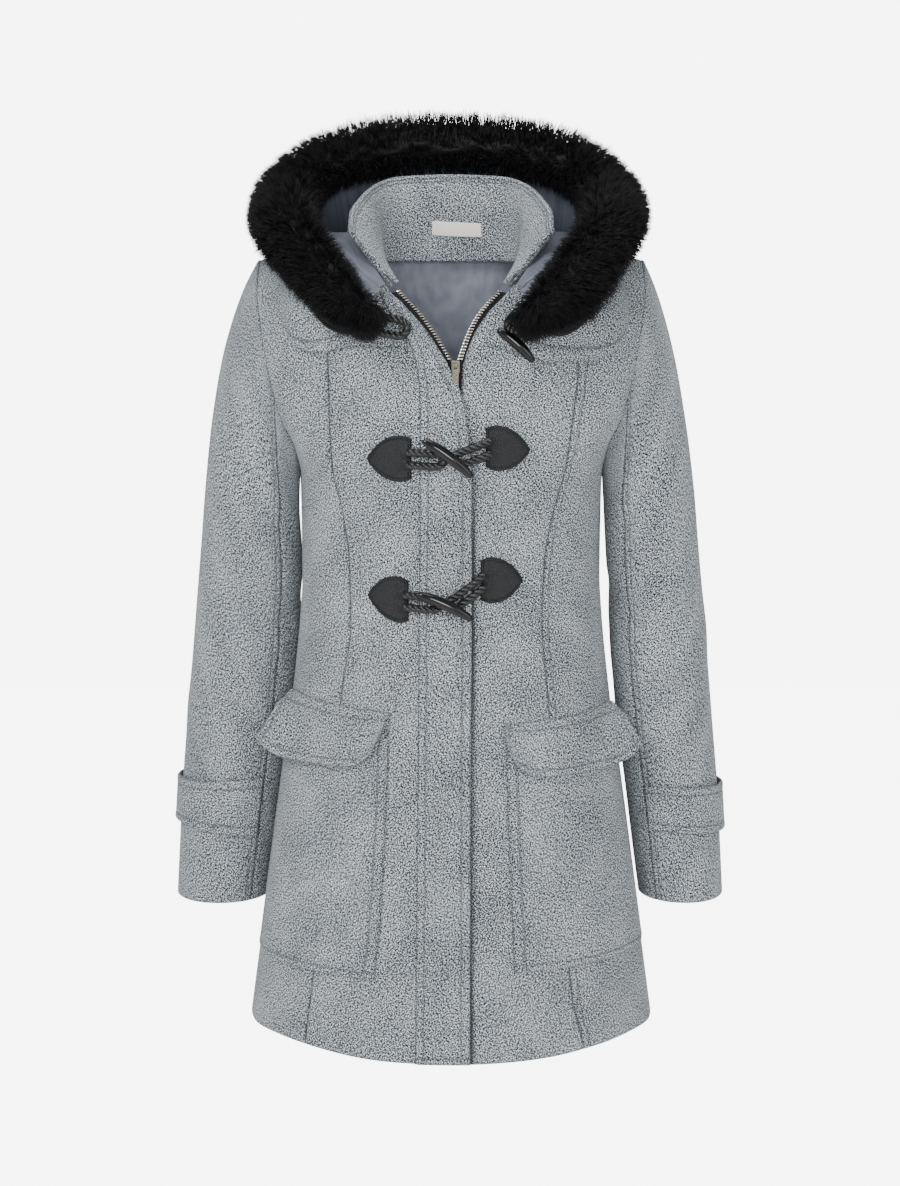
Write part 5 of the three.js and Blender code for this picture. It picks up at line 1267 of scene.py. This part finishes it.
flaps = dict(step=4.0, stitch=7.5, band=9.0, holds=128, spread=0.55, stands=7, width=128, height=58,
             left=[(0, 56.5, -429, 62, -447), (0.12, 66, -427.8, 76, -472), (0.25, 80, -427, 90, -481),
                   (0.5, 105, -425, 122, -482.5), (0.75, 130, -422, 152, -481), (0.9, 144, -421, 171, -474),
                   (1, 150, -420, 180, -463)],
             right=[(0, 48, -440, 50, -457), (0.12, 58, -439, 60, -478), (0.25, 74, -438, 77, -489),
                    (0.5, 102, -436, 112, -490), (0.75, 129, -434, 146, -487), (0.9, 145, -432, 167, -480),
                    (1, 152, -431, 176, -468)])
pockets = dict(step=5.0, stitch=6.5, end=0.94, width=128,
               left=[(447, 57), (560, 61.5), (617, 65), (676, 71.5)],
               right=[(455, 50), (560, 54), (617, 56.5), (668, 58.6)])


def makeYoke(side):
    named = sideName(side)
    at, xs, zs = np.array(yokes[named], float).T
    lineX = smoothLine(at, xs)
    lineZ = smoothLine(at, zs)
    toYoke, long = evenly(lambda t: np.stack([lineX(t), lineZ(t)], -1))

    def place(i, j, lift):
        i = toYoke(i)
        u, footDrop = frontPlace(side, lineX(i), lineZ(i))
        drop = mix(body["shoulder"] + 4, footDrop, j)
        return bodyPoint("front", side, mix(mix(0.2, 0.74, i), u, j ** 1.2), drop, yokes["lift"] + lift)

    clothPiece(f"yoke_{named}", place, long, yokes["height"], ("edge", "edge", "seam", "edge"),
               ((), (), (), (yokes["stitch"],)), cloth["wool"], "topstitching_front", step=yokes["step"],
               down=(0, 1, 2, 3), sink=2.0)


def makePlacket():
    z, sewn, free = np.array(placket["rows"], float).T
    sewnAt = smoothLine(z, sewn)
    freeAt = smoothLine(z, free)
    down = np.linspace(placket["top"], placket["hem"], 120)

    def place(i, j, lift):
        z = mix(placket["top"], placket["hem"], j)
        rise = placket["rise"] * ease((0.2 - j ** (1 / 1.6)) / 0.2)
        loose = ease((i - 0.72) / 0.28) * ease(j / 0.06) * ease((1 - j) / 0.05)
        rise = rise + placket["loose"] * loose * (1 + 0.35 * np.sin(j * 19) + 0.25 * np.sin(j * 41))
        return frontPoint(mix(sewnAt(z), freeAt(z), i), z, cloth["lift"] + lift + rise)

    clothPiece("placket", place, freeAt(down) - sewnAt(down), placket["top"] - placket["hem"],
               ("seam", "edge", "edge", "edge"),
               ((placket["stitch"],), (placket["freeStitch"],), (), (placket["hemStitch"],)), cloth["wool"],
               "topstitching_front", step=placket["step"], down=(0, 2))
    x, z = np.array(waistArc, float).T
    run = np.linspace(0, len(x) - 1, 60)
    arcX = np.interp(run, np.arange(len(x)), x)
    arcZ = smoothLine(np.arange(len(x)), z)(run)
    over = np.where(arcX < -30, 0, cloth["lift"] + cloth["wool"])
    top = frontPoint(arcX, arcZ, over)
    sew("topstitching_front", top, frontPoint(arcX, arcZ, over + 2) - top)


def makePocket(side):
    named = sideName(side)
    drops, xs = np.array(pockets[named], float).T
    edge = smoothLine(drops, xs)

    def place(i, j, lift):
        drop = mix(drops[0], drops[-1], j)
        u = mix(acrossAt(side, edge(drop), drop), pockets["end"], i)
        # flattened where it runs into the side seam
        squeeze = mix(1, 0.42, ease((i - 0.7) / 0.3))
        return bodyPoint("front", side, u, drop, (cloth["lift"] + lift) * squeeze)

    line = (pockets["stitch"],)
    clothPiece(f"pocket_{named}", place, pockets["width"], drops[-1] - drops[0], ("edge", "edge", "plain", "edge"),
               (line, line, (), line), cloth["wool"], "topstitching_front", step=pockets["step"], down=(0, 1, 3))


def makeFlap(side):
    named = sideName(side)
    at, topX, topZ, endX, endZ = np.array(flaps[named], float).T
    topXs, topZs, endXs, endZs = (smoothLine(at, v) for v in (topX, topZ, endX, endZ))
    toFlap, long = evenly(lambda t: np.stack([endXs(t), endZs(t)], -1))

    def place(i, j, lift):
        i = mix(i, toFlap(i), ease(j / 0.5))
        x = mix(topXs(i), endXs(i), j)
        z = mix(topZs(i), endZs(i), j)
        held = np.minimum(x, mix(148, flaps["holds"], ease(j / 0.5)))
        stand = flaps["stands"] * ease(j / 0.34)
        found = bodyPoint("front", side, acrossAt(side, held, -z), -z, cloth["lift"] + lift + stand)
        found[..., 0] += side * (x - held)
        found[..., 1] += flaps["spread"] * (x - held)
        return found

    line = (flaps["stitch"],)
    clothPiece(f"flap_{named}", place, flaps["width"], flaps["height"], ("edge",) * 4,
               (line, line, (flaps["band"],), line), cloth["wool"], "topstitching_front", step=flaps["step"],
               soft=1.2, down=(2,))


makePlacket()
for side in (-1, 1):
    makeYoke(side)
    makePocket(side)
    makeFlap(side)
print("yokes, placket and pockets ready")

# Leatherette patches: straight edge by the toggle, then the tip. Ropes go in under the edge.
patches = dict(step=1.6, stitch=3.0, shape=[(0, 0.86), (0.1, 0.94), (0.25, 1), (0.4, 0.97), (0.55, 0.89),
                                            (0.7, 0.73), (0.85, 0.47), (0.94, 0.27), (1, 0.08)], rows=[
    ("patch_left_top", -1, 90, -68, 124, -62, 15, 15),
    ("patch_right_top", 1, 92, -70, 126, -64, 15, 18),
    ("patch_left_mid", -1, 36, -193, 76, -193, 21.3, 11.4),
    ("patch_right_mid", 1, 31.5, -182.5, 71.5, -185, 20.8, 11.4),
    ("patch_left_low", -1, 39, -325, 76, -320.5, 21.5, 11.4),
    ("patch_right_low", 1, 27, -305.5, 65.5, -306, 21.5, 11.4),
])
patchStitch = dict(long=2.4, gap=0.9, radius=0.32, proud=0.22)


def makePatch(name, side, edgeX, edgeZ, tipX, tipZ, half, gap):
    shape = smoothLine(*np.array(patches["shape"], float).T)
    base = cloth["yokeLift"] + cloth["wool"] + 0.8 if name.endswith("top") else cloth["lift"]
    long = abs(tipX - edgeX)

    def place(i, j, lift):
        x = side * mix(edgeX, tipX, j)
        offset = half * shape(j) * (1 - 2 * i)
        under = bell((np.abs(offset) - gap / 2) / 3.6) * (1 - ease(j * long / 15))
        return frontPoint(x, mix(edgeZ, tipZ, j) + offset, base + lift + 3.6 * under)

    down = np.linspace(0, 1, 60)
    line = (patches["stitch"],)
    clothPiece(name, place, 2 * half * shape(down), long, ("edge", "edge", "edge", "plain"),
               (line, line, line, ()), cloth["leather"], "patch_thread_" + name[6:], [leatherette],
               patches["step"], 0.8,
               down=(0, 1, 2, 3))


for row in patches["rows"]:
    makePatch(*row)

# Rope loops of three twisted plies, from under a patch round the toggle and back
ropes = dict(radius=3.5, pitch=17, around=12, rows=[
    ("cord_left_top", -1, 88, -68, 39, -76, 15, 8.4, 8.4, 8.0),
    ("cord_right_top", 1, 91.3, -69.5, 50, -74, 18, 8.4, 8.4, 8.0),
    ("cord_left_mid", -1, 35, -192.5, 6.6, -193.5, 11.4, 6, 7.6, 4.6),
    ("cord_right_mid", 1, 31.3, -184, 1.2, -193, 11.4, 6, 7.6, 4.6),
    ("cord_left_low", -1, 38, -325, 9.4, -327, 11.4, 6, 7.6, 4.6),
    ("cord_right_low", 1, 26, -309, -1.6, -326, 11.4, 6, 7.6, 4.6),
])


def loopPath(side, startX, startZ, turnX, turnZ, gap, startHigh, turnHigh, underHigh):
    # two strands and the bend between them, evenly stepped; the ends run on under the patch
    def strand(t, sign):
        x = mix(startX, turnX + gap / 2, t)
        z = mix(startZ, turnZ, t) + sign * gap / 2
        high = mix(startHigh, turnHigh, ease(t / 0.4))
        return x, z, np.where(t < 0, mix(startHigh, underHigh, ease(-t * abs(startX - turnX) / 5)), high)

    out = np.linspace(-6 / abs(startX - turnX), 1, 40)
    angle = np.linspace(0, math.pi, 22)[1:-1]
    x1, z1, h1 = strand(out, 1)
    x2, z2, h2 = strand(out[::-1], -1)
    x = np.concatenate([x1, turnX + gap / 2 * (1 - np.sin(angle)), x2])
    z = np.concatenate([z1, turnZ + gap / 2 * np.cos(angle), z2])
    high = np.concatenate([h1, np.full(len(angle), float(turnHigh)), h2])
    return frontPoint(side * x, z, high)


def smoothed(path, times):
    for k in range(times):
        path[1:-1] = 0.5 * path[1:-1] + 0.25 * (path[:-2] + path[2:])
    return path


def resampled(path, step):
    run = np.concatenate([[0], np.cumsum(np.linalg.norm(np.diff(path, axis=0), axis=1))])
    s = np.linspace(0, run[-1], max(4, int(run[-1] / step)))
    return np.stack([np.interp(s, run, path[:, k]) for k in range(3)], -1), s


def frames(path):
    # a frame carried along the path without turning about it
    ahead = unit(np.gradient(path, axis=0))
    up = np.array([0, -1.0, 0])
    ups = []
    for direction in ahead:
        up = unit(up - direction * up.dot(direction))
        ups.append(up)
    ups = np.array(ups)
    return ahead, ups, np.cross(ahead, ups)


def tube(path, radii, around, spin=0.0):
    # rings round a path with both ends closed, and the place of each point round and along it
    ahead, up, across = frames(path)
    turn = 2 * math.pi * np.arange(around) / around
    radii = np.broadcast_to(radii, (len(path),))
    ring = (up[:, None] * np.cos(turn)[None, :, None] + across[:, None] * np.sin(turn)[None, :, None])
    points = path[:, None] + ring * radii[:, None, None]
    run = np.concatenate([[0], np.cumsum(np.linalg.norm(np.diff(path, axis=0), axis=1))])
    uv = np.stack(np.broadcast_arrays(turn[None] * radii.max(), run[:, None]), -1).reshape(-1, 2)
    points = np.concatenate([points.reshape(-1, 3), path[:1], path[-1:]])
    uv = np.concatenate([uv, [[0, 0], [0, run[-1]]]])
    grid = np.arange(len(path) * around).reshape(-1, around)
    nextOne = np.roll(grid, -1, axis=1)
    quads = np.stack([grid[:-1], nextOne[:-1], nextOne[1:], grid[1:]], -1).reshape(-1, 4)
    sides = np.concatenate([quads[:, [0, 1, 2]], quads[:, [0, 2, 3]]])
    first = np.stack([nextOne[0], grid[0], np.full(around, len(points) - 2)], -1)
    last = np.stack([grid[-1], nextOne[-1], np.full(around, len(points) - 1)], -1)
    return points, np.concatenate([sides, first, last]), uv


def joined(parts):
    # several (points, faces, uv) in one
    start = 0
    points = []
    faces = []
    uvs = []
    for found, quads, uv in parts:
        points.append(found)
        faces.append(quads + start)
        uvs.append(uv)
        start += len(found)
    return np.concatenate(points), np.concatenate(faces), np.concatenate(uvs)


for name, *facts in ropes["rows"]:
    path, run = resampled(smoothed(loopPath(*facts), 3), 1.1)
    ahead, up, across = frames(path)
    plies = []
    for ply in range(3):
        turn = 2 * math.pi * (run / ropes["pitch"] + ply / 3)
        centre = path + 0.53 * ropes["radius"] * (up * np.cos(turn)[:, None] + across * np.sin(turn)[:, None])
        plies.append(tube(centre, 0.58 * ropes["radius"], ropes["around"]))
    points, faces, uv = joined(plies)
    settle(makeMesh(name, points, faces, [ropeYarn], uv, sharp=0), [name])

# Toggles: tapered, bowed horns with cut ends
toggles = dict(radius=5.2, bow=2.2, around=28, shape=[(0, 0.5), (0.06, 0.68), (0.25, 0.92), (0.5, 1), (0.75, 0.9),
                                                       (0.94, 0.62), (1, 0.44)], rows=[
    ("toggle_top", 42.5, -76, 75, -105, 14.2),
    ("toggle_mid", -25.5, -175, 19, -208, 15.6),
    ("toggle_low", -30, -316.5, 19.5, -340, 15.7),
])


def makeToggle(name, fromX, fromZ, toX, toZ, high):
    radius = smoothLine(*np.array(toggles["shape"], float).T)
    at = np.concatenate([[0, 0, 0.002, 0.01, 0.025], np.linspace(0.05, 0.95, 40), [0.975, 0.99, 0.998, 1, 1]])
    bevel = np.interp(at, [0, 0.01, 0.03, 0.97, 0.99, 1], [0.8, 0.93, 1, 1, 0.93, 0.8])
    bevel[0] = bevel[-1] = 0.35
    arch = toggles["bow"] * (1 - (2 * at - 1) ** 2)
    middle = frontPoint((fromX + toX) / 2, (fromZ + toZ) / 2, high)
    path = vec(mix(fromX, toX, at) + 0.4 * arch, middle[1] - 0.4 * arch, mix(fromZ, toZ, at) + arch)
    path[0] += 0.02 * (path[0] - path[4])
    path[-1] += 0.02 * (path[-1] - path[-5])
    points, faces, uv = tube(path, toggles["radius"] * radius(at) * bevel, toggles["around"])
    settle(makeMesh(name, points, faces, [hornResin], uv, sharp=60), [name])


for row in toggles["rows"]:
    makeToggle(*row)
print("patches, ropes and toggles ready")

# Zip: tapes, single teeth above the slider, and the closed chain under the placket
zipSizes = dict(top=75, slider=109, end=395, tapeOut=13, wide=4.6, thick=1.8, pitch=2.9, tooth=1.75,
                behind=-cloth["wool"] - 0.7)


def zipInner(drop):
    return mix(-7.5, -4.6, ease((drop - zipSizes["top"]) / (zipSizes["slider"] - zipSizes["top"])))


def zipPoint(side, inside, drop, lift):
    drop, inside, lift = (np.asarray(v, float) for v in np.broadcast_arrays(drop, inside, lift))
    edge = bodyPoint("front", side, 0 * drop, drop, lift)
    further = bodyPoint("front", side, 0 * drop + 0.04, drop, lift)
    return edge + unit(further - edge) * inside[..., None]


def makeTeeth(side):
    named = sideName(side)
    toDrop, long = evenly(lambda t: zipPoint(side, 0 * t, mix(zipSizes["top"], zipSizes["slider"] - 1, t), 0 * t))
    count = int(long / zipSizes["pitch"])
    share = (np.arange(count) + 0.5) / count
    half = zipSizes["tooth"] / long / 2
    corner = [(-1, -1), (1, -1), (1, 1), (-1, 1)]
    points = []
    faces = []
    shrink = [0.72, 1, 1, 0.72]
    lifts = [0, 0.3, zipSizes["thick"] - 0.35, zipSizes["thick"]]
    for k in range(4):
        for a, b in corner:
            drop = mix(zipSizes["top"], zipSizes["slider"] - 1, toDrop(share + b * half * shrink[k]))
            inside = zipInner(drop) - 1.5 + zipSizes["wide"] * (0.5 + 0.5 * a * shrink[k])
            points.append(zipPoint(side, inside, drop, zipSizes["behind"] + 0.25 + lifts[k]))
    points = np.stack(points, 1).reshape(-1, 3)
    one = [(3, 2, 1, 0), (12, 13, 14, 15)]
    for k in range(3):
        for c in range(4):
            n = (c + 1) % 4
            one.append((4 * k + c, 4 * k + n, 4 * k + 4 + n, 4 * k + 4 + c))
    faces = (np.array(one)[None] + 16 * np.arange(count)[:, None, None]).reshape(-1, 4)
    settle(makeMesh(f"zip_teeth_{named}", points, faces, [nickelZip], sharp=40), [f"zip_teeth_{named}"])


def makeTape(side):
    named = sideName(side)

    def place(i, j, lift):
        drop = mix(zipSizes["top"], zipSizes["end"], j)
        inside = mix(zipInner(drop), zipSizes["tapeOut"], i)
        return zipPoint(side, inside, drop, zipSizes["behind"] - cloth["tape"] + lift)

    clothPiece(f"zip_tape_{named}", place, 19, zipSizes["end"] - zipSizes["top"] + 40, ("edge",) * 4,
               ((), (), (), ()), cloth["tape"], "topstitching_front", [zipTape], 4.0)


for side in (-1, 1):
    makeTape(side)
    makeTeeth(side)
for node, metal in (("zip_chain", nickelZip), ("zip_slider", nickelPull), ("zip_pull", nickelPull)):
    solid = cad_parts[node]
    solid.data.materials.clear()
    solid.data.materials.append(metal)
print("zip ready")

# Fur round the hood: a dense dark core, and locks of tapered hairs rooted in it
fur = dict(core=0.68, hairs=10000, pieces=4, middle=(6, 0, 20), ring=980, outer=13.5, inner=19, front=27, top=5,
           end=12, past=1.1, full=17, thick=0.33, lock=7, gather=0.36, droop=0.12, comb=1.15, sway=0.3, wild=0.15)


def furEnd(at):
    half = 1 - np.abs(2 * at - 1)
    return np.sqrt(np.minimum(1, 0.2 + half / 0.2))


def furAround(at, turn, share):
    here, out, up, ahead, wide, tall = furFrame(at)
    end = furEnd(at)
    radial = out * (wide * np.cos(turn))[..., None] + up * (tall * np.sin(turn))[..., None]
    return here + radial * (end * share)[..., None], radial, ahead


def makeFurCore():
    at = np.linspace(0, 1, 140)
    turn = 2 * math.pi * np.arange(36) / 36
    grid = np.meshgrid(at, turn, indexing="ij")
    bumps = 1 + 0.05 * np.sin(grid[0] * 160 + 2 * np.sin(grid[1] * 3)) + 0.04 * np.sin(grid[1] * 7 + grid[0] * 90)
    points, radial, ahead = furAround(grid[0], grid[1], fur["core"] * bumps)
    start = furFrame(np.array([0.0, 1.0]))[0]
    inner = furFrame(np.array([0.02, 0.98]))[0]
    tips = start + unit(start - inner) * 4
    flat = np.concatenate([points.reshape(-1, 3), tips])
    ring = np.arange(len(at) * 36).reshape(-1, 36)
    after = np.roll(ring, -1, axis=1)
    sides = np.stack([ring[:-1], after[:-1], after[1:], ring[1:]], -1).reshape(-1, 4)
    faces = np.concatenate([sides[:, [0, 1, 2]], sides[:, [0, 2, 3]]])
    first = np.stack([after[0], ring[0], np.full(36, len(flat) - 2)], -1)
    last = np.stack([ring[-1], after[-1], np.full(36, len(flat) - 1)], -1)
    piece = makeMesh("fur_core", flat, np.concatenate([faces, first, last]), [fauxFur], sharp=0)
    settle(piece, ["fur_trim"])


def chanceOf(a, b, salt):
    # a fixed draw for each pair of whole numbers
    found = np.sin(a * (127.1 + salt) + b * (311.7 - salt)) * 43758.5453
    return found - np.floor(found)


def makeHairs(number):
    # hairs of one quarter of the trim: combed away from the hood's opening, in locks that lean together
    count = fur["hairs"]
    at = np.clip((number + numbers.random(count)) / fur["pieces"], 0.004, 0.996)
    turn = numbers.random(count) * 2 * math.pi
    root, radial, ahead = furAround(at, turn, np.full(count, fur["core"] * 0.9))
    along = fur["ring"] / fur["lock"]
    around = 190 / fur["lock"]
    lockA = np.floor(at * along + 0.7 * np.sin(turn * 5))
    lockB = np.floor(turn / (2 * math.pi) * around + 0.7 * np.sin(at * 210))
    first, second, third = (chanceOf(lockA, lockB, salt) for salt in (0, 31, 77))
    lockAt = np.clip((lockA + 0.5) / along, 0, 1)
    lockTurn = (lockB + 0.5) / around * 2 * math.pi
    lockRoot, lockRadial, lockAhead = furAround(lockAt, lockTurn, np.full(count, fur["core"]))
    size = np.linalg.norm(radial, axis=-1) * furEnd(at)
    nearEnd = 1 - ease((1 - np.abs(2 * at - 1)) / 0.16)
    # outwards in the picture of the ring, from the middle of the opening
    away = lockRoot - fur["middle"]
    away[..., 1] *= 0.35
    away = unit(away)
    facing = unit(lockRadial)
    meets = (facing * away).sum(-1)
    comb = fur["comb"] * (1 - meets ** 2) * mix(0.6, 1.25, first)
    sway = unit(lockAhead) * (fur["sway"] * (2 * second - 1) + 0.35 * np.sin(lockAt * 31))[:, None]
    drop = np.array([0, -0.15, -1.0]) * (fur["droop"] + 0.75 * nearEnd)[:, None]
    onwards = ahead * (np.where(at < 0.5, -1.0, 1.0) * fur["past"] * nearEnd)[:, None]
    direction = unit(facing + away * comb[:, None] + sway + drop + onwards)
    strayed = unit(direction + fur["wild"] * numbers.normal(size=(count, 3)))
    reach = np.where(meets > 0, mix(fur["front"], fur["outer"], meets ** 2), mix(fur["front"], fur["inner"], meets ** 2))
    upwards = np.clip(facing[..., 2], 0, 1) * np.clip(away[..., 2], 0, 1)
    # the right end is the fuller one
    full = fur["full"] * bell((at - 0.91) / 0.055) * np.clip(meets, 0, 1)
    reach = reach + fur["top"] * upwards + fur["end"] * nearEnd + full
    long = reach * mix(0.72, 1.08, 0.5 * third + 0.5 * numbers.random(count)) * np.clip(size / 33, 0.6, 1.1)
    lockTip = lockRoot + direction * (0.97 * long)[:, None]
    tip = mix(root + strayed * long[:, None], lockTip, (fur["gather"] * mix(0.4, 1, second))[:, None])
    bow = root + 0.5 * (tip - root) + facing * (0.14 * long)[:, None]
    side = unit(np.cross(tip - root, radial + 0.01))
    other = unit(np.cross(tip - root, side))
    thick = fur["thick"] * mix(0.7, 1.3, numbers.random(count))
    points = []
    for centre, wide in ((root, 1.0), (bow, 0.8)):
        for turned in (0, 2.0944, 4.1888):
            spoke = side * math.cos(turned) + other * math.sin(turned)
            points.append(centre + spoke * (thick * wide)[:, None])
    points.append(tip)
    grid = np.stack(points, 1).reshape(-1, 3)
    one = [(0, 2, 1)]
    for k in range(3):
        n = (k + 1) % 3
        one += [(k, n, 3 + n), (k, 3 + n, 3 + k), (3 + k, 3 + n, 6)]
    faces = (np.array(one)[None] + 7 * np.arange(count)[:, None, None]).reshape(-1, 3)
    settle(makeMesh(f"fur_hairs_{number + 1}", grid, faces, [fauxFur], sharp=0), [])


makeFurCore()
for number in range(fur["pieces"]):
    makeHairs(number)
finishSewing()
print("fur and sewing ready")

# Pale floor far below the coat, and soft studio light from the front
studio = dict(pale="f6f6f6", glow=0.6, seen=7.5, floor=-2600, wide=12000)
paper, tree, surface = newMaterial("pale studio paper", {
    "Base Color": colour(studio["pale"]), "Roughness": 0.9, "Specular IOR Level": 0.1,
})
surface.inputs["Emission Color"].default_value = colour(studio["pale"])
# brighter to the camera than to the coat, as an overexposed backdrop is
ray = addNode(tree, "ShaderNodeLightPath")
glow = addNode(tree, "ShaderNodeMapRange", {"To Min": studio["glow"], "To Max": studio["seen"] - 0.3},
               {"Value": ray.outputs["Is Camera Ray"]})
tree.links.new(glow.outputs["Result"], surface.inputs["Emission Strength"])
grain = addNode(tree, "ShaderNodeTexNoise", {"Scale": 600.0})
rough = addNode(tree, "ShaderNodeBump", {"Strength": 0.02, "Distance": 0.0002}, {"Height": grain.outputs["Fac"]})
tree.links.new(rough.outputs["Normal"], surface.inputs["Normal"])
corners = np.array([(x * studio["wide"], y * studio["wide"], studio["floor"])
                    for x, y in ((-1, -1), (1, -1), (1, 1), (-1, 1))], float)
makeMesh("studio_floor", corners, np.array([(0, 1, 2, 3)]), [paper], sharp=0)

world = bpy.data.worlds.new("studio")
bpy.context.scene.world = world
world.use_nodes = True
sky = world.node_tree.nodes["Background"]
sky.inputs["Color"].default_value = colour(studio["pale"])
ray = addNode(world.node_tree, "ShaderNodeLightPath")
glow = addNode(world.node_tree, "ShaderNodeMapRange", {"To Min": studio["glow"], "To Max": studio["seen"]},
               {"Value": ray.outputs["Is Camera Ray"]})
world.node_tree.links.new(glow.outputs["Result"], sky.inputs["Strength"])

lamps = [
    ("key light", (-1500, -2000, 1500), 1300, 52.0),
    ("fill light", (1900, -2300, 300), 1700, 17.0),
    ("front light", (100, -3200, 100), 1200, 43.0),
    ("top light", (100, -200, 2200), 1300, 23.0),
]
for name, place, size, power in lamps:
    lamp = bpy.data.lights.new(name, "AREA")
    lamp.shape = "DISK"
    lamp.size = size * mm
    lamp.energy = power
    holder = bpy.data.objects.new(name, lamp)
    bpy.context.collection.objects.link(holder)
    holder.location = Vector(place) * mm
    holder.rotation_euler = (Vector((0, 0, -333)) - Vector(place)).to_track_quat("-Z", "Y").to_euler()

print("scene ready:", len(made), "pieces")
